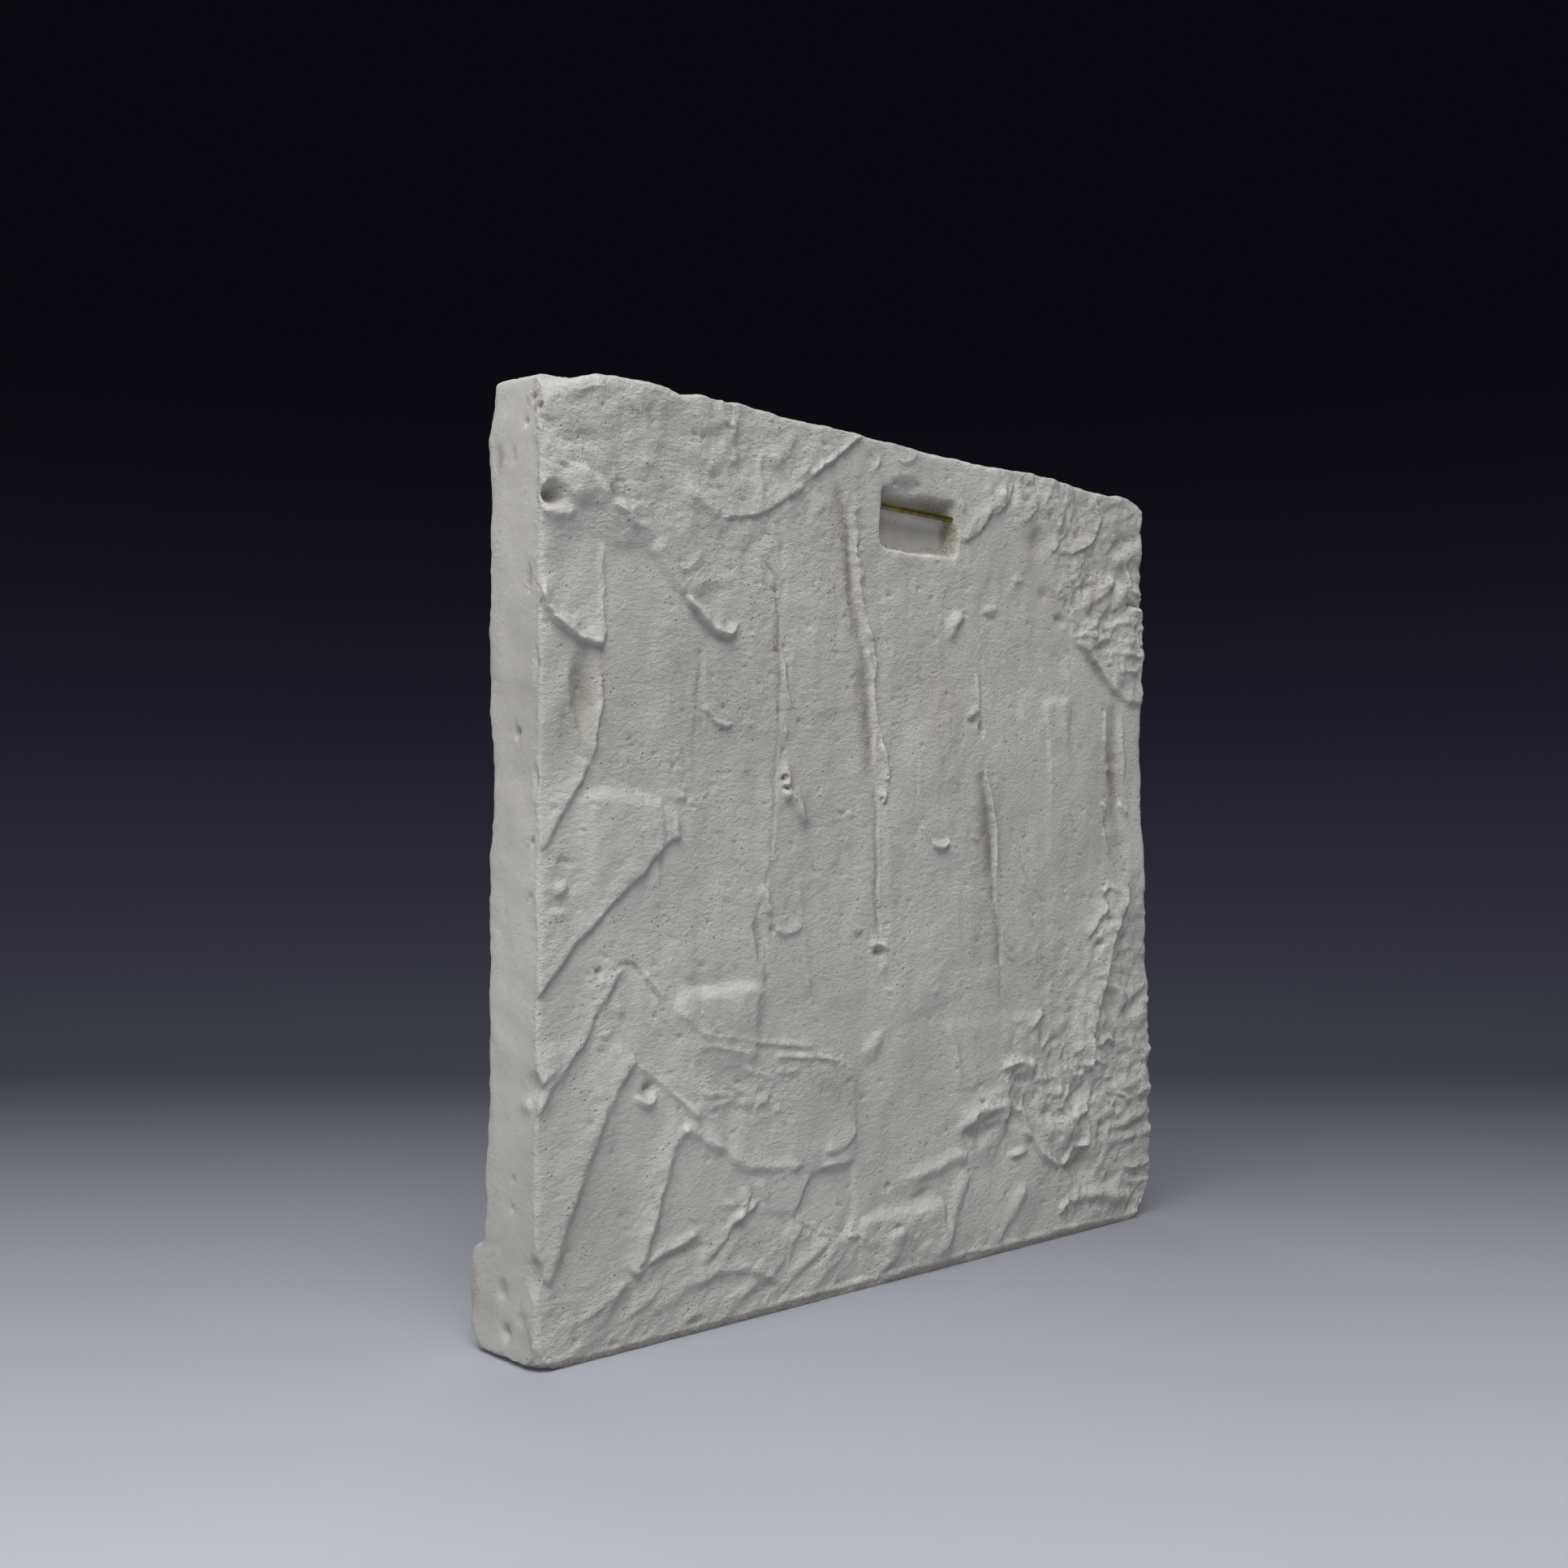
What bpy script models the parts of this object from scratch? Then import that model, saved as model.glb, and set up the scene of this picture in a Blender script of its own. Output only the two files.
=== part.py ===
"""Plaster relief: a square cast slab that stands on its foot, with a knifed back and a rod to hang it by.

Metres, +Z up. The carved front faces -Y and the rough back faces +Y. The origin is on the floor, under the
middle of the slab's box. The near side of the slab, the one with the smooth narrow face, is at +X.

The relief on both faces is set out on a chart, as a plasterer would mark it on a sheet laid over the slab:
CHART units across from the near side, and CHART units up from the foot, whatever the slab's real size. Its
heights are in RELIEF_UNIT, so that a slab of another size keeps its own depth of relief.
"""

from collections import namedtuple

import bmesh
import bpy
import numpy as np
from mathutils import Matrix

# Driving dimensions, in metres
SLAB_WIDTH = 0.430
SLAB_HEIGHT = 0.430
SLAB_THICKNESS = 0.038
EDGE_ROUND = 0.0028
RELIEF_UNIT = 0.001
BACK_RISE = 0.0045

LEDGE_HEIGHT = 0.046
LEDGE_REACH = 0.013
LEDGE_SLOPE = 0.004

RECESS_WIDTH = 0.061
RECESS_HEIGHT = 0.033
RECESS_DEPTH = 0.0093
RECESS_CORNER = 0.006
RECESS_BELOW_TOP = 0.0245
RECESS_FROM_NEAR_SIDE = 0.235

ROD_DIAMETER = 0.0032
ROD_EMBEDDED = 0.012
ROD_BELOW_RECESS_TOP = 0.0095
ROD_DEPTH = 0.0032
ROD_CLEARANCE = 0.0003

PALMETTE_WIDTH = 0.270
PALMETTE_HEIGHT = 0.310
PALMETTE_RAISE = 0.008
PALMETTE_LOBES = 9
PALMETTE_LEAF = 0.19

# How finely the slab is worked: the pitch of its grid, and the triangles that are kept of it
GRID_PITCH = 0.0032
TRIANGLES_KEPT = 9100
TRIANGLES_PER_CELL = 2

# The chart, and what follows from the sizes above
CHART = 430.0
FAR_SIDE_SWELL = 0.0058
NEAR_X = (SLAB_WIDTH + FAR_SIDE_SWELL) / 2
BACK_Y = (SLAB_THICKNESS + LEDGE_REACH - BACK_RISE) / 2
FRONT_Y = BACK_Y - SLAB_THICKNESS
FOOT_ALLOWANCE = 0.0015
CUTTER_OVERSHOOT = 0.02
RECESS_TOP = SLAB_HEIGHT - RECESS_BELOW_TOP
RECESS_X = NEAR_X - RECESS_FROM_NEAR_SIDE
ROD_Z = RECESS_TOP - ROD_BELOW_RECESS_TOP
ROD_Y = BACK_Y - ROD_DEPTH
ROD_LENGTH = RECESS_WIDTH + 2 * ROD_EMBEDDED

PLASTER_COLOUR = (0.56, 0.56, 0.53, 1.0)
BRASS_COLOUR = (0.115, 0.098, 0.021, 1.0)

# A crest is a ridge, lip or step of plaster along a line. `left` and `right` are how far it takes to fall away on
# each side of someone who walks along the line, so a short one is a steep face. A negative height is a groove.
Crest = namedtuple("Crest", "height left right points")
# A dome is a lump, or with a negative height a hollow: its centre, half its width and half its height on the chart.
Dome = namedtuple("Dome", "height across up half_across half_up")
# A coat is a layer of plaster over an area, or one that was scraped away, with the run of its edge.
Coat = namedtuple("Coat", "height edge points")
# A rough patch has torn, lumpy plaster: the height of its lumps, their size, and its outline.
Rough = namedtuple("Rough", "height size edge points")

# The thick coat along the top of the back, and the broken coat in the low far corner
TOP_COAT = Coat(2.0, 2.5, (
    (-12, 358), (12, 357), (23, 355), (31, 357), (37, 351), (44, 350), (52, 353), (60, 357), (72, 343),
    (81, 330), (90, 321), (102, 320), (110, 324), (104, 345), (98, 368), (120, 380), (146, 391), (160, 403),
    (178, 413), (192, 424), (200, 440), (-12, 440)))
FAR_TOP_COAT = Coat(1.6, 6.0, (
    (262, 384), (284, 394), (300, 402), (334, 411), (350, 398), (340, 384), (352, 356), (368, 339),
    (392, 318), (404, 307), (445, 303), (445, 440), (300, 440)))
FACET_SCRAPED = Coat(-1.8, 3.0, ((146, 45), (159, 62), (187, 65), (187, 40), (182, 27), (165, 32)))
PLATE_LEFT = Coat(1.6, 3.0, ((114, 65), (145, 64), (157, 60), (149, 52), (142, 46), (122, 51)))

ROUGH_PATCHES = (
    Rough(1.5, 17, 9.0, (
        (-10, 360), (28, 352), (60, 358), (104, 322), (98, 370), (150, 394), (195, 425), (195, 440), (-10, 440))),
    Rough(2.0, 15, 12.0, (
        (265, 385), (300, 400), (345, 385), (352, 355), (378, 325), (402, 306), (440, 304), (440, 440), (300, 440))),
    Rough(2.6, 14, 10.0, (
        (440, 205), (405, 198), (393, 168), (382, 140), (366, 108), (330, 100), (300, 104), (262, 72),
        (262, 60), (305, 50), (330, 57), (350, 40), (350, -5), (440, -5))),
    Rough(1.2, 11, 8.0, (
        (84, 137), (130, 128), (178, 122), (186, 108), (135, 92), (112, 92), (84, 104))),
    Rough(1.3, 10, 8.0, ((-5, 20), (40, 30), (110, 44), (190, 30), (190, -5), (-5, -5))),
)

# Steps and lips of the knife strokes, from the near side to the far side
NEAR_STROKES = (
    Crest(3.2, 4, 3, ((19, 379), (30, 371.5), (38, 367), (48, 367), (57, 363))),
    Crest(4.2, 15, 2.2, ((-1, 327), (8, 318), (17, 311), (26, 308), (33, 311))),
    Crest(1.6, 4, 1.5, ((33, 311), (32, 321), (30, 340), (30, 354))),
    Crest(2.2, 14, 2.5, ((2, 219), (12, 240), (20, 252), (25, 262))),
    Crest(1.8, 2.5, 9, ((25, 262), (28, 280), (30, 302))),
    Crest(2.6, 9, 34, ((22, 243), (42, 240.5), (66, 239))),
    Crest(2.4, 22, 1.8, ((-2, 158), (12, 173), (25, 187), (40, 201), (57, 212), (67, 224), (75, 227))),
    Crest(2.2, 10, 3, ((2, 128), (12, 129), (22, 141))),
    Crest(2.3, 11, 4.5, ((0, 108), (10, 122), (22, 136), (32, 152), (40, 165), (46, 170))),
    Crest(-1.5, 3, 2.5, ((46, 170), (55, 163), (64, 153), (71, 147), (83, 138), (97, 130))),
    Crest(2.6, 15, 5, ((5, 36), (11, 54), (21, 75), (33, 101), (41, 117), (49, 128))),
    Crest(1.8, 7, 2.5, ((49, 128), (59, 121), (72, 111), (80, 106))),
    Crest(2.4, 17, 4, ((50, 32), (57, 47), (62, 62), (69, 78), (77, 94))),
    Crest(2.3, 10, 5, ((77, 94), (91, 87), (108, 77), (128, 69), (147, 64))),
    Crest(2.4, 3, 3, ((47, 113), (53, 109.5), (60, 108.5), (66, 112))),
    Crest(2.3, 5, 2.5, ((58, 39), (74, 46), (91, 48.5))),
    Crest(1.9, 7, 2.5, ((22, 21), (34, 28), (47, 35), (50, 31), (60, 38))),
    Crest(1.8, 9, 4, ((80, 35), (95, 38), (106, 46), (115, 62))),
)
MIDDLE_STROKES = (
    Crest(3.0, 10, 2.2, ((80, 337), (88, 329), (98, 323.5), (110, 325))),
    Crest(2.2, 5, 1.8, ((87, 287), (94, 281), (104, 278.5), (112, 281))),
    Crest(3.0, 8, 26, ((73, 147), (88, 151.5), (108, 153), (128, 152))),
    Crest(2.4, 5, 2, ((116, 134), (128, 127), (146, 122), (160, 119), (180, 115))),
    Crest(-1.8, 2.2, 2, ((129, 152), (122, 160), (124, 172), (121, 184), (126, 205), (130, 235), (133, 260),
                         (135, 290), (136, 330), (132, 345), (125, 357))),
    Crest(1.8, 2, 6, ((142, 288), (139, 303), (137, 322))),
    Crest(4.2, 2.5, 9, ((136, 247), (144, 243), (149, 236), (152, 229))),
    Crest(2.4, 3, 3, ((124, 188), (129, 184), (132, 179))),
    Crest(1.4, 6, 1.8, ((129, 184), (136, 181), (147, 181), (152, 185))),
    Crest(1.0, 1.6, 1.6, ((158, 133), (154, 162), (150, 190), (145, 222))),
    Crest(1.7, 4, 2, ((158, 65), (172, 66), (187, 66))),
    Crest(1.4, 4, 2, ((161, 73), (173, 73.5), (180, 76), (185, 84))),
    Crest(0.9, 2, 3.5, ((186, 34), (186, 60), (184, 110))),
    Crest(3.2, 6, 20, ((188, 34), (218, 33), (252, 34))),
    Crest(2.2, 6, 10, ((222, 53), (245, 54), (258, 58), (270, 54))),
    Crest(3.1, 6, 3.5, ((154, 401), (168, 410), (180, 418), (192, 429))),
)
FAR_STROKES = (
    Crest(-2.4, 3.5, 2.5, ((204, 174), (200, 205), (200, 235), (196, 262), (191, 292), (190, 335), (184, 358),
                           (184, 378), (178, 392), (174, 405))),
    Crest(2.3, 2, 6, ((207, 268), (200, 290), (197, 312), (192, 340), (188, 365), (186, 384))),
    Crest(2.1, 5, 8, ((193, 115), (201, 122), (210, 132))),
    Crest(-2.6, 4.5, 3, ((299, 125), (294, 165), (291, 205), (287, 232), (283, 264))),
    Crest(1.9, 1.5, 5, ((296, 178), (293, 205), (290, 236), (285, 258))),
    Crest(1.5, 3, 3, ((284, 294), (281, 306), (279, 318))),
    Crest(-1.0, 2, 2, ((334, 189), (320, 204), (312, 223))),
    Crest(2.6, 5, 2, ((231, 233), (241, 223), (249, 221.5), (257, 225))),
    Crest(2.0, 4, 6, ((283, 348), (291, 348.5), (300, 350))),
    Crest(2.1, 6, 24, ((332, 299), (346, 300), (362, 302))),
    Crest(1.0, 1.5, 3, ((336, 279), (336.5, 299))),
    Crest(-2.0, 8, 7, ((404, 224), (401, 262), (398, 296), (396, 316))),
    Crest(1.8, 3, 2, ((404, 239), (411, 239), (417, 241))),
    Crest(2.9, 10, 2.4, ((268, 386), (284, 394), (298, 403), (318, 407), (336, 414))),
    Crest(2.6, 6, 4, ((292, 406), (299, 413), (307, 428))),
    Crest(3.6, 13, 5, ((368, 86), (372, 120), (380, 152), (394, 188))),
    Crest(4.4, 7, 8, ((261, 72), (277, 79), (290, 82), (300, 79), (306, 71))),
    Crest(3.2, 7, 6, ((296, 102), (312, 101.5), (330, 102))),
    Crest(2.8, 3, 4, ((328, 58), (338, 48), (352, 40))),
    Crest(2.6, 4, 7, ((354, 24), (372, 22), (396, 25))),
    Crest(2.4, 5, 8, ((396, 10), (410, 12), (426, 13))),
    Crest(2.4, 4, 3, ((385, 141), (393, 143.5), (401, 142), (409, 137))),
    Crest(2.0, 9, 4, ((255, 6), (258, 24), (263, 46), (262, 60))),
    Crest(2.0, 9, 5, ((286, 8), (300, 14), (316, 30))),
)
LUMPS_AND_HOLLOWS = (
    Dome(-4.0, 6, 371, 8, 8),
    Dome(-1.4, 11, 382.5, 6, 3),
    Dome(-1.8, 42, 376, 9, 6),
    Dome(-4.4, 22, 290, 9, 22),
    Dome(-2.6, 57, 115.5, 6, 4.5),
    Dome(3.4, 140, 256, 6, 11),
    Dome(-2.2, 128, 180, 4, 4),
    Dome(2.6, 207, 245, 5, 6),
    Dome(2.8, 204, 172, 7, 4),
    Dome(-2.6, 204, 167, 5.5, 3),
    Dome(-2.6, 283, 285, 4.5, 6),
    Dome(3.8, 262, 341, 8, 5.5),
    Dome(2.2, 258, 334, 6, 8),
    Dome(-2.0, 401, 271, 7, 6),
    Dome(-3.0, 290, 64, 17, 6),
    Dome(-5.0, 364, 38, 14, 14),
    Dome(-4.2, 394, 122, 11, 20),
    Dome(-2.4, 363, 82, 13, 10),
    Dome(-2.8, 403, 70, 7, 6),
    Dome(3.0, 388, 178, 9, 13),
    Dome(2.6, 402, 194, 13, 6),
    Dome(-1.6, 363, 394, 16, 7),
    Dome(-2.2, 392, 345, 8, 7),
    Dome(2.4, 405, 381, 12, 8),
)

# How far the outline stands out from the chart's square, at places along each edge
TOP_EDGE = ((-10, -9.0), (0, -7.0), (14, -4.0), (30, -1.0), (66, 0.0), (76, -1.8), (86, 0.0), (180, -1.0),
            (240, -1.2), (310, 0.0), (350, 0.8), (400, -0.3), (415, -1.0), (440, -8.0))
NEAR_EDGE = ((-5, 1.5), (30, 0.5), (60, 1.0), (120, 0.5), (245, -0.8), (330, 0.8), (400, 1.0), (425, -1.5),
             (440, -4.0))
FAR_EDGE = ((-5, -2.0), (20, 5.0), (45, 7.0), (80, 6.0), (150, 4.0), (200, 2.5), (240, 0.0), (300, -1.0),
            (350, 1.0), (365, -0.6), (400, 0.5), (420, 2.0), (440, 1.0))
EDGE_SWAY = 40.0

# Corners that are broken or worn away: a point of the cut on the chart and in from the back, and the way it faces
Chip = namedtuple("Chip", "across up depth facing")
CHIPS = (
    Chip(428, 423, 20, (0.52, 0.85, 0.0)),
    Chip(4, 423, 0, (-0.35, 0.75, -0.55)),
    Chip(12, 2.0, 20, (-0.13, -0.99, 0.0)),
    Chip(424, 4.0, 20, (0.62, -0.78, 0.0)),
    Chip(200, 4.5, 0, (0.0, -0.74, -0.67)),
)


def smooth_fall(share):
    """1 at 0, 0 at 1 and beyond, with no corner at either end."""
    share = np.clip(share, 0.0, 1.0)
    return 1.0 - share * share * (3.0 - 2.0 * share)


def crisp_fall(share):
    """1 at 0, 0 at 1 and beyond, with an edge at 0 like that a knife leaves."""
    return (1.0 - np.clip(share, 0.0, 1.0)) ** 1.6


def curve_through(points, steps=5):
    """A smooth line through the points, as a Catmull-Rom curve read at `steps` places between each two."""
    points = np.asarray(points, float)
    padded = np.vstack((2 * points[0] - points[1], points, 2 * points[-1] - points[-2]))
    places = []
    for first in range(len(points) - 1):
        a, b, c, d = padded[first:first + 4]
        for step in range(steps):
            t = step / steps
            places.append(0.5 * (2 * b + (c - a) * t + (2 * a - 5 * b + 4 * c - d) * t ** 2
                                 + (3 * b - a - 3 * c + d) * t ** 3))
    places.append(points[-1])
    return np.array(places)


def nearest_on(line, across, up):
    """For each place: its distance from the line, whether it is on the left of it, and how far along it lies."""
    best = np.full(across.shape, np.inf)
    on_left = np.zeros(across.shape, bool)
    share = np.zeros(across.shape)
    for index in range(len(line) - 1):
        start, step = line[index], line[index + 1] - line[index]
        length_squared = max(float(step @ step), 1e-9)
        run = np.clip(((across - start[0]) * step[0] + (up - start[1]) * step[1]) / length_squared, 0, 1)
        away_x = across - start[0] - run * step[0]
        away_y = up - start[1] - run * step[1]
        distance = np.hypot(away_x, away_y)
        nearer = distance < best
        best = np.where(nearer, distance, best)
        on_left = np.where(nearer, step[0] * away_y - step[1] * away_x > 0, on_left)
        share = np.where(nearer, (index + run) / (len(line) - 1), share)
    return best, on_left, share


def within(across, up, low, high):
    """The places in the box from low to high, to which a mark that small is limited."""
    return (across > low[0]) & (across < high[0]) & (up > low[1]) & (up < high[1])


def add_crest(height, across, up, crest, end_share=0.12):
    """Adds one crest to the height of every place that it reaches."""
    line = curve_through(crest.points)
    reach = max(crest.left, crest.right)
    here = within(across, up, line.min(axis=0) - reach, line.max(axis=0) + reach)
    distance, on_left, share = nearest_on(line, across[here], up[here])
    fall = crisp_fall(distance / np.where(on_left, crest.left, crest.right))
    ends = np.sqrt(np.clip(np.minimum(share, 1 - share) / end_share, 0.0, 1.0))
    height[here] += crest.height * fall * ends


def add_dome(height, across, up, dome):
    """Adds one lump, or takes away one hollow."""
    reach = np.hypot((across - dome.across) / dome.half_across, (up - dome.up) / dome.half_up)
    height += dome.height * smooth_fall(reach)


def cover(across, up, points, edge):
    """How far each place is inside an outline: 0 outside, 1 inside, changing over the width of its edge."""
    line = np.vstack((points, points[:1]))
    distance, _, _ = nearest_on(line, across, up)
    inside = np.zeros(across.shape, bool)
    for (x0, y0), (x1, y1) in zip(line[:-1], line[1:]):
        if y0 != y1:
            crosses = (y0 > up) != (y1 > up)
            inside ^= crosses & (across < x0 + (up - y0) * (x1 - x0) / (y1 - y0))
    signed = np.where(inside, distance, -distance)
    return smooth_fall(0.5 - signed / edge)


def wandering(across, up, size, seed):
    """Smooth random height, between about -1 and 1, that changes over `size` chart units."""
    knots = np.random.default_rng(seed).uniform(-1.0, 1.0, (64, 64))
    x, y = across / size + 20.0, up / size + 20.0
    column, row = np.floor(x).astype(int), np.floor(y).astype(int)
    fx, fy = 1.0 - smooth_fall(x - column), 1.0 - smooth_fall(y - row)
    low = knots[column % 64, row % 64] * (1 - fx) + knots[(column + 1) % 64, row % 64] * fx
    high = knots[column % 64, (row + 1) % 64] * (1 - fx) + knots[(column + 1) % 64, (row + 1) % 64] * fx
    return low * (1 - fy) + high * fy


def torn_plaster(across, up, size, seed):
    """Rough plaster: soft lumps with creases between them, at two sizes."""
    sway = size * 0.6 * wandering(across, up, size * 1.7, seed + 1)
    lumps = 1.0 - 2.0 * np.abs(wandering(across + sway, up - sway, size, seed + 2))
    grit = wandering(across + sway, up, size * 0.45, seed + 3)
    return 0.7 * lumps + 0.4 * grit


def back_relief(across, up):
    """The height of the back at each place of the chart, in RELIEF_UNIT, above the plane of the slab."""
    height = 0.5 * wandering(across, up, 60.0, 11) + 0.25 * wandering(across, up, 24.0, 12)
    for coat in (TOP_COAT, FAR_TOP_COAT, FACET_SCRAPED, PLATE_LEFT):
        height += coat.height * cover(across, up, np.array(coat.points, float), coat.edge)
    for crest in NEAR_STROKES + MIDDLE_STROKES + FAR_STROKES:
        add_crest(height, across, up, crest)
    for seed, patch in enumerate(ROUGH_PATCHES):
        share = cover(across, up, np.array(patch.points, float), patch.edge)
        height += patch.height * share * torn_plaster(across, up, patch.size, 30 + 7 * seed)
    for dome in LUMPS_AND_HOLLOWS:
        add_dome(height, across, up, dome)
    ceiling = BACK_RISE / RELIEF_UNIT
    return np.where(height > 0, ceiling * np.tanh(height / ceiling), height)


def add_leaf(height, across, up, points, half_width, raise_by):
    """Adds one leaf with a rounded back and a groove down its middle. It lies over what is under it."""
    line = curve_through(points)
    here = within(across, up, line.min(axis=0) - half_width, line.max(axis=0) + half_width)
    distance, _, share = nearest_on(line, across[here], up[here])
    spread = half_width * np.sin(np.pi * np.clip(share, 0.05, 0.97) ** 1.6) ** 0.7
    out = distance / spread
    body = np.sqrt(np.clip(1.0 - out * out, 0.0, 1.0)) - 0.3 * smooth_fall(out / 0.35)
    height[here] = np.maximum(height[here], raise_by * body * (0.55 + 0.45 * share))


def palmette(across, up):
    """A palmette, the fan of leaves that plasterers have long cast: its lobes, two scrolls and a collar."""
    height = np.zeros(across.shape)
    centre = CHART / 2
    wide = PALMETTE_WIDTH * CHART / SLAB_WIDTH / 2
    tall = PALMETTE_HEIGHT * CHART / SLAB_HEIGHT
    foot = LEDGE_HEIGHT * CHART / SLAB_HEIGHT + (CHART - LEDGE_HEIGHT * CHART / SLAB_HEIGHT - tall) / 2
    heart = foot + 0.24 * tall
    raise_by = PALMETTE_RAISE / RELIEF_UNIT
    for lobe in range(PALMETTE_LOBES):
        turn = 2.0 * lobe / (PALMETTE_LOBES - 1) - 1.0
        lean = np.radians(100.0) * turn
        tip = (centre + wide * (1.0 - 0.12 * abs(turn)) * np.sin(lean), heart + 0.02 * tall
               + (0.74 - 0.12 * turn * turn) * tall * np.cos(0.86 * lean))
        start = (centre + 0.13 * wide * turn, heart)
        bow = (0.45 * start[0] + 0.55 * tip[0] - 0.13 * wide * turn, 0.4 * start[1] + 0.6 * tip[1] + 0.03 * tall)
        add_leaf(height, across, up, (start, bow, tip), PALMETTE_LEAF * wide, raise_by)
    for side in (-1.0, 1.0):
        turns = np.linspace(0.0, 3.2 * np.pi, 18)
        radii = 0.31 * wide * (1.0 - turns / (4.0 * np.pi))
        eye_x, eye_z = centre + side * 0.50 * wide, foot + 0.31 * wide
        scroll = [(eye_x - side * r * np.cos(t), eye_z + r * np.sin(t)) for r, t in zip(radii, turns)]
        line = curve_through([(centre + side * 0.10 * wide, heart - 0.06 * tall)] + scroll)
        distance, _, _ = nearest_on(line, across, up)
        band = np.sqrt(np.clip(1.0 - (distance / (0.056 * wide)) ** 2, 0.0, 1.0))
        height = np.maximum(height, 0.8 * raise_by * band)
    collar = np.hypot((across - centre) / (0.20 * wide), (up - heart) / (0.055 * tall))
    return np.maximum(height, raise_by * np.sqrt(np.clip(1.0 - collar * collar, 0.0, 1.0)))


def front_relief(across, up):
    """The height of the front at each place of the chart: the palmette, and the ledge along the foot."""
    ledge_top = LEDGE_HEIGHT * CHART / SLAB_HEIGHT
    slope = LEDGE_SLOPE * CHART / SLAB_HEIGHT
    worn = 0.8 * wandering(across, up, 30.0, 21)
    ledge = LEDGE_REACH / RELIEF_UNIT * smooth_fall((up + worn - ledge_top + slope) / slope)
    return np.maximum(palmette(across, up), ledge)


def edge_offset(places, table):
    """How far an edge stands out at each place along it, from the few places in its table."""
    return np.interp(places, [row[0] for row in table], [row[1] for row in table])


def slab_grid():
    """A closed box with a fine grid on the back and the front, at chart places, with depth in from the back."""
    cells = max(24, round(max(SLAB_WIDTH, SLAB_HEIGHT) / GRID_PITCH))
    rings = max(4, round(SLAB_THICKNESS / GRID_PITCH / 1.5))
    shape = bmesh.new()
    bmesh.ops.create_grid(shape, x_segments=cells, y_segments=cells, size=CHART / 2)
    bmesh.ops.translate(shape, verts=shape.verts, vec=(CHART / 2, CHART / 2, 0.0))
    back_faces = list(shape.faces)
    rim = [edge for edge in shape.edges if edge.is_boundary]
    for _ in range(rings):
        grown = bmesh.ops.extrude_edge_only(shape, edges=rim)["geom"]
        rim = [item for item in grown if isinstance(item, bmesh.types.BMEdge)]
        moved = [item for item in grown if isinstance(item, bmesh.types.BMVert)]
        bmesh.ops.translate(shape, verts=moved, vec=(0.0, 0.0, 1.0 / rings))
    front = bmesh.ops.duplicate(shape, geom=back_faces)["geom"]
    moved = [item for item in front if isinstance(item, bmesh.types.BMVert)]
    bmesh.ops.translate(shape, verts=moved, vec=(0.0, 0.0, 1.0))
    bmesh.ops.remove_doubles(shape, verts=shape.verts, dist=0.01)
    return shape


def worked_slab_places(places):
    """Moves the box's places to the worn, knifed and carved slab: across and up in metres, depth in from the back."""
    across, up, depth = places[:, 0], places[:, 1], places[:, 2]
    spot_x, spot_z = across * SLAB_WIDTH / CHART, up * SLAB_HEIGHT / CHART
    spot_y = depth * SLAB_THICKNESS
    spot = np.stack((spot_x, spot_y, spot_z), axis=1)
    size = np.array((SLAB_WIDTH, SLAB_THICKNESS, SLAB_HEIGHT))
    rounding = EDGE_ROUND * (1.0 + 0.4 * wandering(across + up, depth * 20.0, 19.0, 41))[:, None]
    inner = np.clip(spot, rounding, size - rounding)
    out = spot - inner
    length = np.linalg.norm(out, axis=1, keepdims=True)
    spot = inner + np.where(length > 0, rounding * out / np.maximum(length, 1e-12), 0.0)

    share = spot[:, 1] / SLAB_THICKNESS
    rise = back_relief(across, up) * RELIEF_UNIT
    carving = front_relief(across, up) * RELIEF_UNIT
    spot[:, 1] += carving * share - rise * (1.0 - share)

    top = edge_offset(across, TOP_EDGE) * smooth_fall((CHART - up) / EDGE_SWAY)
    near = edge_offset(up, NEAR_EDGE) * smooth_fall(across / EDGE_SWAY)
    far = edge_offset(up, FAR_EDGE) * smooth_fall((CHART - across) / EDGE_SWAY)
    spot[:, 0] += (far - near) * SLAB_WIDTH / CHART
    spot[:, 2] += top * SLAB_HEIGHT / CHART

    for chip in CHIPS:
        facing = np.array((chip.facing[0], chip.facing[2], chip.facing[1]))
        facing /= np.linalg.norm(facing)
        point = np.array((chip.across * SLAB_WIDTH / CHART, chip.depth * RELIEF_UNIT,
                          chip.up * SLAB_HEIGHT / CHART))
        beyond = (spot - point) @ facing + 0.6 * RELIEF_UNIT * wandering(across, up + depth * 30.0, 9.0, 51)
        spot -= np.clip(beyond, 0.0, None)[:, None] * facing
    return spot


def plaster_slab(material):
    """The slab, worked on a fine grid and then thinned, before its recess, sockets and foot are cut."""
    shape = slab_grid()
    places = np.array([vertex.co[:] for vertex in shape.verts])
    spots = worked_slab_places(places)
    for vertex, (across, depth, up) in zip(shape.verts, spots):
        vertex.co = (NEAR_X - across, BACK_Y - depth, up - FOOT_ALLOWANCE * (1.0 - up / SLAB_HEIGHT))
    bmesh.ops.recalc_face_normals(shape, faces=shape.faces)
    slab = finished("plaster_slab", shape, material)
    thin = slab.modifiers.new("thinned", "DECIMATE")
    thin.ratio = min(1.0, TRIANGLES_KEPT / (TRIANGLES_PER_CELL * len(slab.data.polygons)))
    return slab


def finished(name, shape, material):
    """Turns a bmesh into a named object with its material."""
    mesh = bpy.data.meshes.new(name)
    shape.to_mesh(mesh)
    shape.free()
    mesh.shade_smooth()
    mesh.set_sharp_from_angle(angle=np.radians(40.0))
    item = bpy.data.objects.new(name, mesh)
    bpy.context.scene.collection.objects.link(item)
    if material:
        item.data.materials.append(material)
    return item


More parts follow.
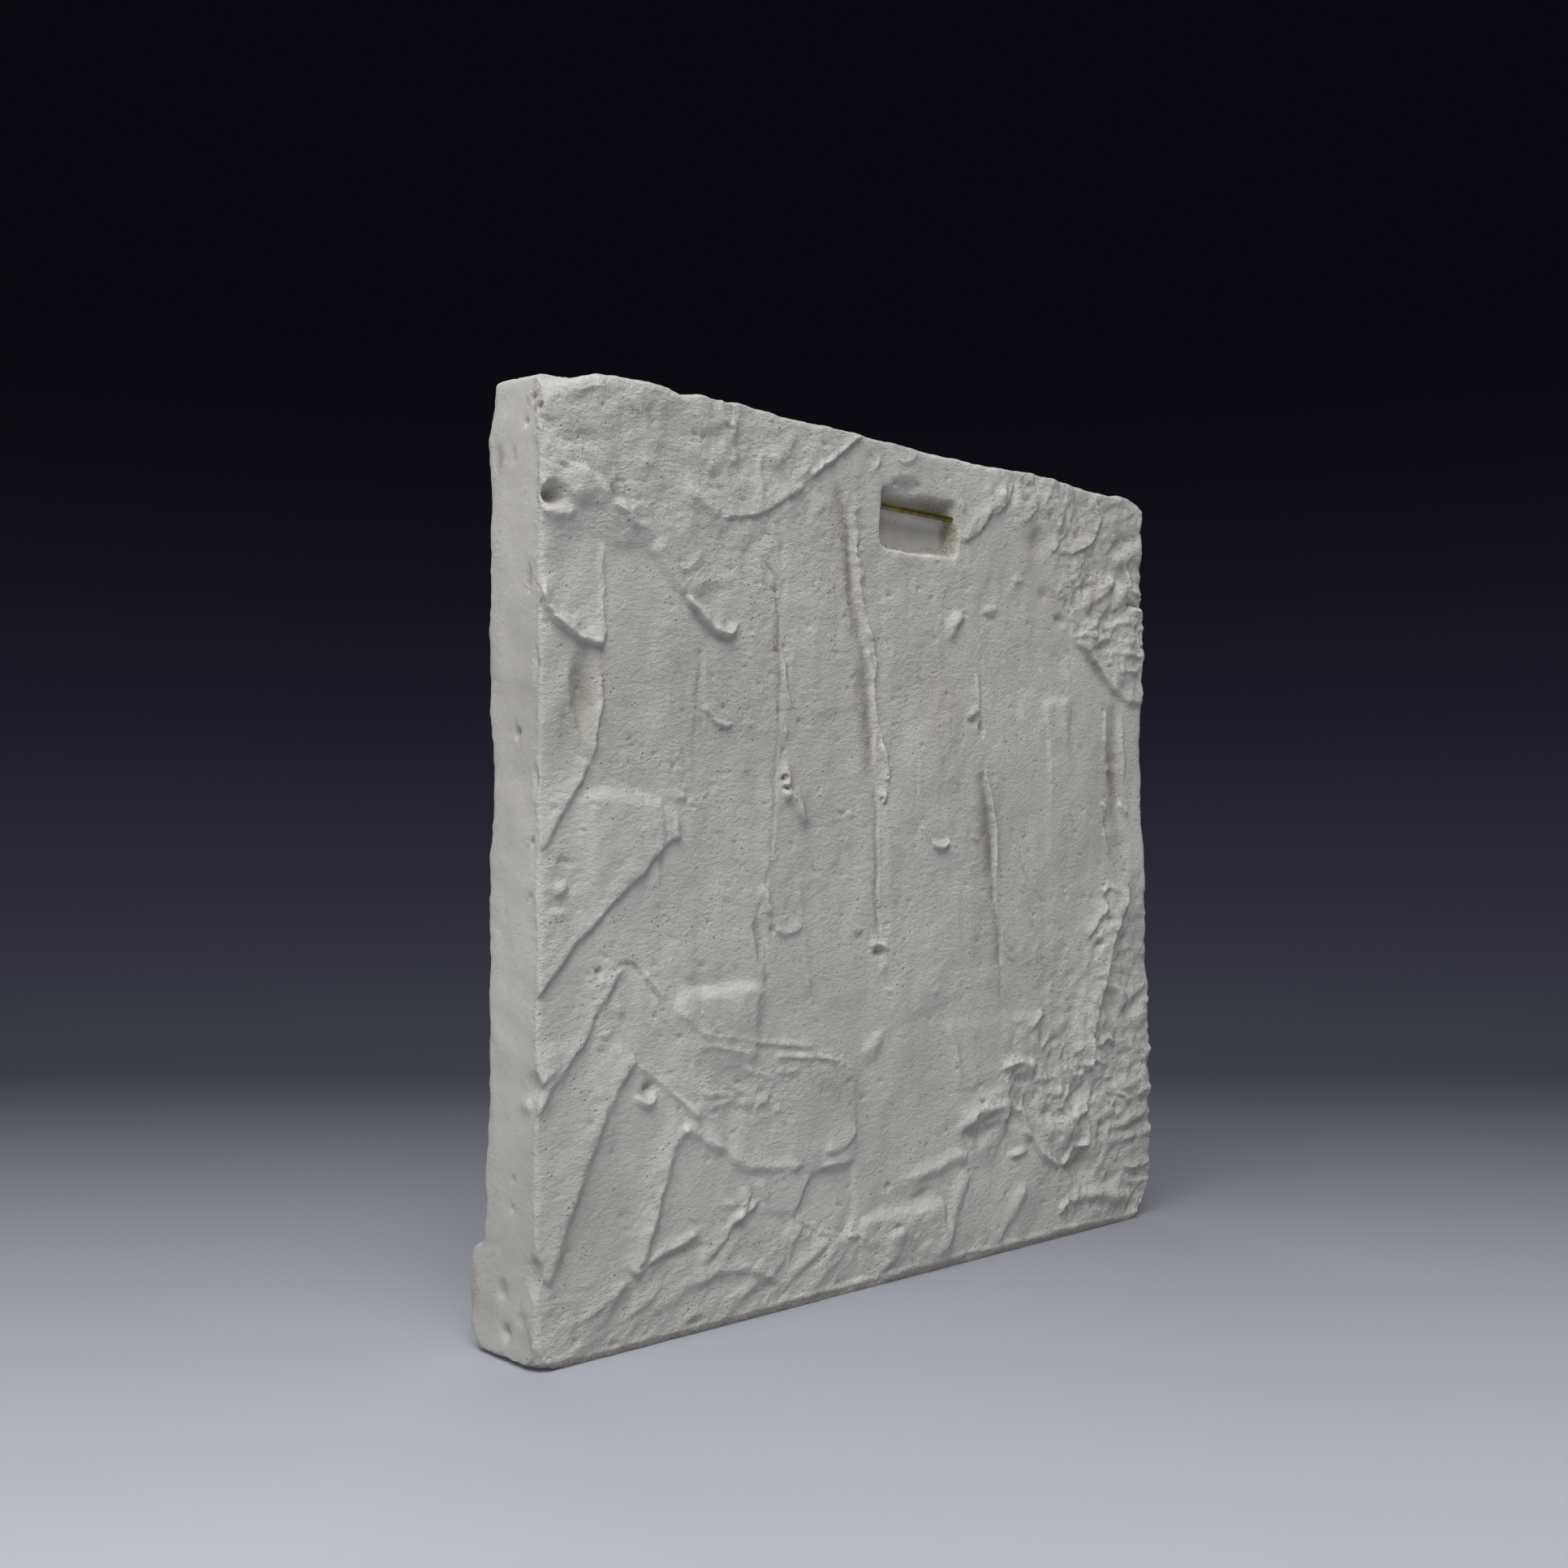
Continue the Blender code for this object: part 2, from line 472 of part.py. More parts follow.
def cutter(name, shape):
    """A helper that only cuts: it isn't rendered, and it shows as wire."""
    item = finished(name, shape, None)
    item.hide_render = True
    item.display_type = "WIRE"
    return item


def cut(target, tool):
    """Takes the tool's shape out of the target."""
    boolean = target.modifiers.new(tool.name, "BOOLEAN")
    boolean.operation = "DIFFERENCE"
    boolean.solver = "EXACT"
    boolean.object = tool


def box_shape(low, high):
    """A box between two corners."""
    low, high = np.array(low), np.array(high)
    shape = bmesh.new()
    bmesh.ops.create_cube(shape, size=1.0)
    bmesh.ops.scale(shape, verts=shape.verts, vec=high - low)
    bmesh.ops.translate(shape, verts=shape.verts, vec=(low + high) / 2)
    return shape


def recess_cutter():
    """The recess: an opening with rounded corners that widens a little towards the surface."""
    shape = box_shape((-RECESS_WIDTH / 2, 0.0, -RECESS_HEIGHT / 2), (RECESS_WIDTH / 2, 1.0, RECESS_HEIGHT / 2))
    upright = [edge for edge in shape.edges if abs(edge.verts[0].co.y - edge.verts[1].co.y) > 0.5]
    bmesh.ops.bevel(shape, geom=upright, offset=RECESS_CORNER, offset_type="OFFSET", affect="EDGES",
                    segments=4, profile=0.5, material=-1)
    deep = RECESS_DEPTH + CUTTER_OVERSHOOT
    taper = 1.0 + 0.10 * deep / RECESS_DEPTH
    for vertex in shape.verts:
        if vertex.co.y > 0.5:
            vertex.co.x *= taper
            vertex.co.z *= taper
        vertex.co.y *= deep
    bmesh.ops.translate(shape, verts=shape.verts,
                        vec=(RECESS_X, BACK_Y - RECESS_DEPTH, RECESS_TOP - RECESS_HEIGHT / 2))
    bmesh.ops.recalc_face_normals(shape, faces=shape.faces)
    return cutter("recess_cutter", shape)


def rod_shape(radius, length, sides=16):
    """A round bar along X through the recess, at the rod's place."""
    shape = bmesh.new()
    bmesh.ops.create_cone(shape, cap_ends=True, segments=sides, radius1=radius, radius2=radius, depth=length)
    bmesh.ops.rotate(shape, verts=shape.verts, cent=(0, 0, 0), matrix=Matrix.Rotation(np.pi / 2, 3, "Y"))
    bmesh.ops.translate(shape, verts=shape.verts, vec=(RECESS_X, ROD_Y, ROD_Z))
    return shape


def foot_cutter():
    """Everything below the floor, so that the foot is flat."""
    reach = SLAB_WIDTH
    return cutter("foot_cutter", box_shape((-reach, -reach, -reach), (reach, reach, 0.0)))


def principled(name, colour, roughness, metallic):
    """A plain material with the part's colour, roughness and metallic value."""
    material = bpy.data.materials.new(name)
    material.use_nodes = True
    shader = material.node_tree.nodes["Principled BSDF"]
    shader.inputs["Base Color"].default_value = colour
    shader.inputs["Roughness"].default_value = roughness
    shader.inputs["Metallic"].default_value = metallic
    return material


def main():
    """Clears the scene and builds the slab and its rod."""
    for item in list(bpy.data.objects):
        bpy.data.objects.remove(item)
    slab = plaster_slab(principled("plaster", PLASTER_COLOUR, 0.85, 0.0))
    cut(slab, recess_cutter())
    sockets = rod_shape(ROD_DIAMETER / 2 + ROD_CLEARANCE, ROD_LENGTH + 2 * ROD_CLEARANCE)
    cut(slab, cutter("socket_cutter", sockets))
    cut(slab, foot_cutter())
    finished("hanging_rod", rod_shape(ROD_DIAMETER / 2, ROD_LENGTH), principled("brass", BRASS_COLOUR, 0.45, 1.0))


main()
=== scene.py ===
"""The looks of a plaster relief that stands on its foot: the slab, worked by hand with a knife, and its rod.

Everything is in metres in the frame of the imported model: +Z up, the carved front towards -Y and the knifed
back towards +Y. The marks on the two faces are laid out on a chart, in chart millimetres: `across` from the
near side, at +X, and `up` from the foot. A mark along a line has a left and a right, as someone who walks
along it has. The left is the higher side on the way from the near side, the near side on the way up, and the
far side on the way down.
"""

import logging
import math
from dataclasses import dataclass, field
from enum import Enum

import bmesh
import bpy
import numpy as np
from mathutils import Matrix, Vector


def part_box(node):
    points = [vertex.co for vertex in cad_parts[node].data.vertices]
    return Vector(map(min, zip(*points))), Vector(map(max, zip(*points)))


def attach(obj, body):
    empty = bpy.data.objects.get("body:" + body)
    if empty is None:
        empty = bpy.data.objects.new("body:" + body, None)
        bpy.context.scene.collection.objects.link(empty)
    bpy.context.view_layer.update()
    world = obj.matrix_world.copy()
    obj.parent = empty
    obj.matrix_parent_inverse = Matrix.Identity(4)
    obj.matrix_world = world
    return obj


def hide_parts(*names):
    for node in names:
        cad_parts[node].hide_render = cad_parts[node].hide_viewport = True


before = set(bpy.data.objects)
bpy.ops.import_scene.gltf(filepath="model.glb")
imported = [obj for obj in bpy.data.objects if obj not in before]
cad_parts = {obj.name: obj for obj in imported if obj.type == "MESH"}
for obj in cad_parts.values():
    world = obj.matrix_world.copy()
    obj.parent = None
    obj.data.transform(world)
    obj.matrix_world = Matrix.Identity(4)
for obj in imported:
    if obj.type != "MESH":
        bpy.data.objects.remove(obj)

log = logging.getLogger("plaster_relief")

CHART = 430.0
MILLIMETRE = 0.001
Points = tuple[tuple[float, float], ...]
Window = tuple[slice, slice]
Socket = bpy.types.NodeSocket


class Fall(Enum):
    """How the plaster falls away from the top of a crest: the power that its height is raised to."""

    KNIFE = 1.9
    SOFT = 0.0


@dataclass(frozen=True)
class Crest:
    """A ridge, lip or step along a line, or with a negative height a groove.

    `left` and `right` are how far it takes to fall away on each side, so a short one is a steep face.
    `dirt_and_shade` is how much darker its colour is along it, as soiling and painted shade, and `ends` is
    the share of its length over which each end dies out.
    """

    height: float
    left: float
    right: float
    points: Points
    fall: Fall = Fall.KNIFE
    dirt_and_shade: float = 0.0
    ends: float = 0.25


@dataclass(frozen=True)
class Dome:
    """A lump, or with a negative height a hollow, with half its width and half its height on the chart."""

    height: float
    across: float
    up: float
    half_across: float
    half_up: float
    turn: float = 0.0
    dirt_and_shade: float = 0.0


@dataclass(frozen=True)
class Coat:
    """A layer laid over an area, or with a negative height scraped off it."""

    height: float
    edge: float
    points: Points


@dataclass(frozen=True)
class Rough:
    """Torn, lumpy plaster over an area: the height, size and slant of its lumps, and its grit."""

    height: float
    size: float
    edge: float
    points: Points
    slant: float = 17.0
    stretch: float = 1.0
    grit: float = 0.0


@dataclass(frozen=True)
class Streaks:
    """Fine lines that the knife drags over an area, with their slant from level in degrees."""

    height: float
    width: float
    slant: float
    edge: float
    points: Points
    length: float = 16.0


TOP_COAT = (
    (-14, 360), (6, 360), (20, 359), (28, 357), (36, 354), (44, 353.5), (52, 357), (58, 358.5), (64, 351),
    (71, 342.5), (78, 335.5), (90, 338), (104, 343), (112, 356), (106, 370), (103, 375), (107, 376),
    (117, 377.5), (124, 381), (131, 384.5), (139, 389), (146, 393.5), (152, 398), (158, 403.5),
    (166, 411), (173, 416), (185, 425), (192, 430), (198, 444), (-14, 444),
)
FAR_TOP = (
    (266, 386), (284, 397), (300, 410), (316, 398), (340, 388), (346, 366), (352, 350), (364, 340),
    (380, 333), (388, 325), (400, 314), (414, 308), (446, 305), (446, 446), (300, 446), (288, 410),
)
LOW_FAR = (
    (446, 205), (425, 206), (405, 199), (393, 186), (380, 168), (372, 150), (366, 125), (355, 112),
    (335, 101), (300, 104), (296, 86), (262, 73), (262, 60), (300, 50), (330, 57), (345, 40), (350, 20),
    (350, -8), (446, -8),
)
WRINKLED = (
    (84, 137), (106, 130), (130, 128), (160, 125), (187, 114), (185, 106), (160, 98), (135, 93),
    (128, 88), (112, 94), (90, 98), (84, 105),
)
FOOT_STRIP = (
    (-8, 18), (22, 24), (60, 38), (110, 44), (142, 44), (190, 32), (250, 32), (256, -8), (-8, -8),
)
MIDDLE_FIELD = (
    (60, 150), (100, 160), (290, 130), (300, 270), (330, 300), (330, 380), (110, 380), (70, 330),
    (30, 300), (30, 250),
)

COATS = (
    Coat(0.55, 1.2, TOP_COAT),
    Coat(1.0, 6.0, FAR_TOP),
    Coat(0.7, 1.6, ((367, 339), (380, 333), (388, 325), (400, 314), (414, 308), (446, 305), (446, 372),
        (400, 352), (382, 345))),
    Coat(0.8, 4.0, ((84, 134), (130, 127), (178, 116), (186, 112), (186, 66), (150, 66), (118, 72),
        (92, 88))),
    Coat(-1.5, 2.2, ((146, 45), (157, 63), (186, 65), (186, 40), (180, 29), (161, 36))),
    Coat(1.3, 2.4, ((118, 66), (130, 67), (145, 66), (153, 63), (157, 62), (150, 52), (143, 46),
        (130, 49), (122, 52))),
    Coat(0.45, 1.2, ((139, 398), (166, 392), (182, 398), (184, 330), (188, 290), (160, 286), (142, 300),
        (138, 360))),
    Coat(0.4, 2.0, ((208, 372), (282, 372), (282, 300), (286, 240), (296, 190), (298, 150), (212, 130),
        (206, 260))),
    Coat(0.6, 3.0, ((250, 128), (258, 119), (262, 108), (262, 92), (300, 98), (330, 110), (330, 128))),
)

ROUGH_PATCHES = (
    Rough(1.6, 28.0, 7.0, TOP_COAT, grit=0.20),
    Rough(0.7, 11.0, 8.0, ((-14, 364), (60, 362), (100, 384), (120, 404), (160, 418), (160, 444),
        (-14, 444))),
    Rough(1.0, 11.0, 6.0, ((-14, 366), (30, 372), (52, 372), (60, 364), (54, 384), (20, 400), (-14, 404)),
        8.0, 1.4),
    Rough(1.7, 24.0, 12.0, FAR_TOP, 48.0, 1.5, 0.34),
    Rough(1.0, 9.0, 9.0, FAR_TOP, 70.0, 1.2),
    Rough(1.7, 9.0, 6.0, ((370, 344), (384, 336), (400, 320), (446, 308), (446, 384), (404, 380),
        (380, 362)), 8.0, 2.0, 0.15),
    Rough(1.7, 24.0, 9.0, LOW_FAR, 40.0, 1.3, 0.26),
    Rough(1.15, 8.0, 7.0, LOW_FAR, 70.0, 1.2),
    Rough(1.0, 6.0, 5.0, ((376, 108), (412, 116), (440, 110), (440, 52), (412, 50), (384, 62), (372, 84)),
        15.0, 1.5, 0.2),
    Rough(0.7, 6.0, 5.0, ((300, 128), (326, 126), (360, 116), (360, 92), (346, 84), (306, 84),
        (298, 100)), 60.0, 1.3),
    Rough(0.8, 14.0, 6.0, WRINKLED, -12.0, 2.6, 0.14),
    Rough(0.8, 4.5, 5.0, ((104, 112), (126, 110), (136, 104), (128, 94), (104, 96), (94, 104)), -10.0,
        1.3),
    Rough(0.9, 18.0, 8.0, FOOT_STRIP, 34.0, 2.2, 0.14),
    Rough(0.5, 6.0, 6.0, FOOT_STRIP, 30.0, 1.8),
    Rough(0.9, 6.0, 5.0, ((4, 34), (36, 36), (44, 28), (30, 18), (6, 16)), 10.0, 1.3),
    Rough(0.7, 8.0, 6.0, ((100, 372), (108, 346), (116, 334), (130, 346), (150, 392)), 20.0, 1.3, 0.22),
    Rough(0.5, 8.0, 6.0, ((128, 345), (184, 340), (184, 400), (150, 398), (110, 372)), 80.0, 1.5, 0.14),
    Rough(0.7, 6.0, 5.0, ((2, 222), (14, 222), (24, 200), (10, 176), (0, 160)), 40.0, 1.3),
    Rough(0.6, 6.0, 5.0, ((30, 160), (42, 164), (46, 150), (34, 134), (26, 140)), 50.0, 1.3),
    Rough(0.7, 7.0, 7.0, ((310, 168), (352, 168), (372, 150), (366, 125), (330, 128)), 24.0, 1.5, 0.16),
    Rough(0.5, 3.6, 4.0, ((66, 270), (76, 270), (92, 246), (100, 236), (82, 234), (66, 246)), 0.0, 1.4),
    Rough(0.8, 4.0, 3.0, ((182, 398), (190, 396), (194, 370), (195, 345), (188, 345), (186, 370)), 0.0,
        1.2, 0.2),
    Rough(0.22, 9.0, 10.0, MIDDLE_FIELD, 4.0, 1.8, 0.07),
)

STREAKED = (
    Streaks(0.14, 6.0, 88.0, 12.0, MIDDLE_FIELD),
    Streaks(0.04, 1.5, 3.0, 12.0, MIDDLE_FIELD, 5.0),
    Streaks(0.04, 2.4, -4.0, 12.0, MIDDLE_FIELD, 5.0),
    Streaks(0.7, 9.0, 34.0, 10.0, FOOT_STRIP),
    Streaks(0.26, 2.8, 32.0, 10.0, FOOT_STRIP),
    Streaks(0.38, 9.0, 62.0, 8.0, ((0, 60), (20, 60), (72, 145), (140, 66), (110, 48), (60, 36),
        (10, 24))),
    Streaks(0.10, 2.0, 4.0, 8.0, ((0, 60), (20, 60), (72, 145), (140, 66), (110, 48), (60, 36), (10, 24)),
        6.0),
    Streaks(0.12, 1.8, 6.0, 8.0, ((0, 150), (70, 222), (68, 240), (4, 216)), 6.0),
    Streaks(0.08, 1.7, 2.0, 8.0, ((34, 356), (60, 350), (126, 300), (130, 200), (76, 160), (34, 250)),
        6.0),
    Streaks(0.13, 2.0, 3.0, 6.0, ((186, 36), (252, 36), (262, 60), (258, 130), (186, 130)), 6.0),
    Streaks(0.10, 3.4, 87.0, 6.0, ((186, 36), (252, 36), (262, 60), (258, 110), (186, 112))),
    Streaks(0.5, 10.0, 52.0, 6.0, ((252, 4), (345, 6), (345, 46), (300, 50), (262, 48))),
    Streaks(0.14, 2.4, 50.0, 6.0, ((252, 4), (345, 6), (345, 46), (300, 50), (262, 48))),
)

TOP_MARKS = (
    Crest(4.4, 7, 13, ((6, 388), (14, 383), (24, 379.6), (33, 371.5), (38, 369.4), (42, 368.6),
        (48, 364.4), (57, 364))),
    Crest(1.6, 5, 3, ((-3, 365.4), (4, 363.3), (12, 364), (18, 367))),
    Crest(1.4, 3, 4, ((15, 423), (23, 425), (32, 427))),
    Crest(1.4, 6, 5, ((57, 358.5), (64, 351), (71, 342.5), (78, 336)), Fall.SOFT, ends=0.15),
    Crest(-0.9, 4, 6, ((54, 357), (61, 349), (68, 341), (75, 333)), Fall.SOFT, dirt_and_shade=0.1),
    Crest(0.6, 3.5, 1.2, ((95.4, 356), (97, 367), (98.4, 374)), ends=0.2),
    Crest(1.3, 7, 1.1, ((98, 374.2), (107, 376), (117, 377.5), (124, 381), (131, 384.5), (139, 389),
        (146, 393.5), (152, 398)), ends=0.05),
    Crest(0.8, 3, 1.0, ((140, 396), (147, 400), (152, 404), (157, 409))),
    Crest(2.0, 3.4, 1.5, ((156, 402), (160, 406), (166, 411), (173, 416), (179, 420.5), (185, 425),
        (194, 430)), ends=0.10),
    Crest(0.9, 6, 5, ((126, 398), (134, 407), (141, 416), (148, 426)), Fall.SOFT),
    Crest(0.8, 6, 5, ((86, 392), (96, 400), (104, 412), (108, 424)), Fall.SOFT),
    Crest(0.9, 5, 4, ((74, 386), (84, 382), (92, 377), (98, 374)), Fall.SOFT),
    Crest(1.3, 2.5, 2, ((98.6, 422.4), (103, 421), (108.6, 418.2))),
    Crest(0.7, 3, 2, ((196, 409), (200, 413), (204, 417), (206, 424))),
    Crest(0.8, 3, 2, ((214, 424), (222, 421), (228, 424), (234, 430))),
)

NEAR_MARKS = (
    Crest(4.2, 13, 1.7, ((-3, 329.5), (1, 326.5), (8, 318), (17, 312.4), (24, 309.8), (32.5, 310.4)),
        ends=0.04),
    Crest(1.3, 2.6, 1.4, ((32.4, 311), (31.8, 325), (31.5, 340), (31.2, 355)), ends=0.05),
    Crest(1.7, 15, 2.0, ((1, 219.6), (6, 228), (13.4, 239), (19, 249), (24.5, 258)), ends=0.05),
    Crest(1.8, 8, 1.6, ((24, 256), (27.7, 266), (29.5, 282), (30.4, 300)), ends=0.2),
    Crest(0.8, 2, 7, ((13, 302), (15, 284), (21, 264)), Fall.SOFT),
    Crest(-0.5, 10, 5, ((22, 250), (40, 249), (62, 247)), Fall.SOFT),
    Crest(2.7, 7, 60, ((18, 240), (32, 240.6), (45, 239.6), (58, 238.8), (67.4, 238.6)), Fall.SOFT,
        ends=0.16),
    Crest(1.0, 1.8, 4, ((66.8, 226), (66.6, 233), (66.8, 240)), ends=0.15),
    Crest(1.0, 5, 2.4, ((69, 244.6), (74, 243.6), (79, 242.6)), Fall.SOFT),
    Crest(-1.1, 2.4, 1.4, ((9, 214), (12.4, 215.6), (16, 212.8)), Fall.SOFT, dirt_and_shade=0.3),
    Crest(1.2, 4, 3, ((7, 199), (11, 203), (15, 206))),
    Crest(1.8, 24, 1.7, ((-3, 157), (2, 161.5), (9, 169.5), (17, 178.5), (26, 187), (35, 195.5),
        (40, 200), (46.5, 205), (53, 210.7), (60, 217), (67, 223), (71, 225.6), (75, 226.4)), dirt_and_shade=0.22,
        ends=0.03),
    Crest(-0.6, 2.0, 7, ((2, 160), (17, 177), (35, 194), (53, 209.4), (66, 221)), Fall.SOFT, ends=0.08),
    Crest(1.8, 7, 3, ((-1, 121), (4, 124.5), (10, 128.5))),
    Crest(1.8, 14, 3.0, ((-2, 107), (3, 114), (8, 121.5), (14.5, 129), (21, 136.5), (26.7, 146),
        (30, 151.5), (34, 158), (38, 164), (42, 168.6)), dirt_and_shade=0.1, ends=0.05),
    Crest(-1.1, 1.4, 1.6, ((37, 164), (41, 168.6), (46, 169.4), (50, 168), (53.5, 164), (56.5, 160.4),
        (60, 157), (63, 153.6), (66, 149)), dirt_and_shade=0.35, ends=0.06),
    Crest(1.2, 2.2, 4, ((53, 168), (58, 162.6), (63, 157), (67, 151.6))),
    Crest(1.1, 5, 1.4, ((70, 148), (76, 144.5), (83, 139), (89, 134.5), (97, 130.5)), dirt_and_shade=0.2),
    Crest(0.8, 4, 2, ((35, 128), (40, 134), (42, 128), (43, 122))),
    Crest(2.2, 15, 4.4, ((5, 38), (7.2, 42), (11.5, 54), (15.8, 66), (20, 76), (24.5, 86.6), (29, 97),
        (33.2, 105.6), (37.5, 113), (41.7, 120.4), (46, 125.6), (50, 128.4)), dirt_and_shade=0.15, ends=0.04),
    Crest(1.2, 6, 2.4, ((49, 128), (54, 124), (60, 120), (66, 115), (72, 110))),
    Crest(2.4, 3, 3, ((48.5, 114), (51, 110.4), (55.6, 108.4), (60, 109), (63, 113))),
    Crest(2.0, 3, 2.0, ((66, 113.6), (72, 110), (78, 105.6), (84, 100.4), (87, 96.5))),
    Crest(2.1, 14, 5.0, ((49.6, 32.6), (54, 41), (57.6, 50), (61, 60), (64, 69), (68.6, 80), (72, 87.4),
        (75.4, 92.4), (78.4, 94.6)), dirt_and_shade=0.15, ends=0.04),
    Crest(1.9, 8, 4.6, ((76, 94.4), (81, 93.4), (86.6, 90), (93, 86.6), (100, 83), (105.4, 79),
        (110.7, 75.3), (121, 71.9), (135, 70), (152, 68)), ends=0.05),
    Crest(2.2, 6, 2.6, ((54, 34.6), (62, 39.6), (70, 42.6), (80, 45), (90, 46.6)), dirt_and_shade=0.1, ends=0.25),
    Crest(-1.2, 3, 5, ((62, 37), (74, 39.6), (86, 40.6), (94, 38)), Fall.SOFT, dirt_and_shade=0.1),
    Crest(1.6, 7, 2.4, ((20, 18), (30, 23), (39, 28.4), (48, 32.6)), dirt_and_shade=0.15),
    Crest(1.6, 9, 3.2, ((84, 34.4), (91.7, 36.5), (100, 41.7), (109, 50), (113.6, 57), (118, 64.6)),
        ends=0.15),
    Crest(2.4, 5, 2.4, ((107, 47.4), (112, 50.6), (117, 54), (123, 56.4))),
    Crest(1.0, 5, 3, ((122, 66), (124, 60), (126, 54)), Fall.SOFT),
    Crest(1.5, 8, 4, ((80, 21.6), (88, 25.4), (97, 27.4), (110.7, 27), (122, 23.4), (132, 18.4),
        (139, 13)), ends=0.2),
    Crest(1.2, 7, 4, ((54, 12), (68, 19), (82, 26), (98, 34)), Fall.SOFT),
    Crest(1.2, 6, 3, ((36, 12), (48, 18), (60, 24), (68, 31))),
    Crest(1.0, 6, 3, ((96, 8), (112, 14), (130, 22), (144, 30)), Fall.SOFT),
    Crest(1.1, 4, 2, ((76, 9), (84, 10.6), (92, 9.6)), dirt_and_shade=0.2),
)

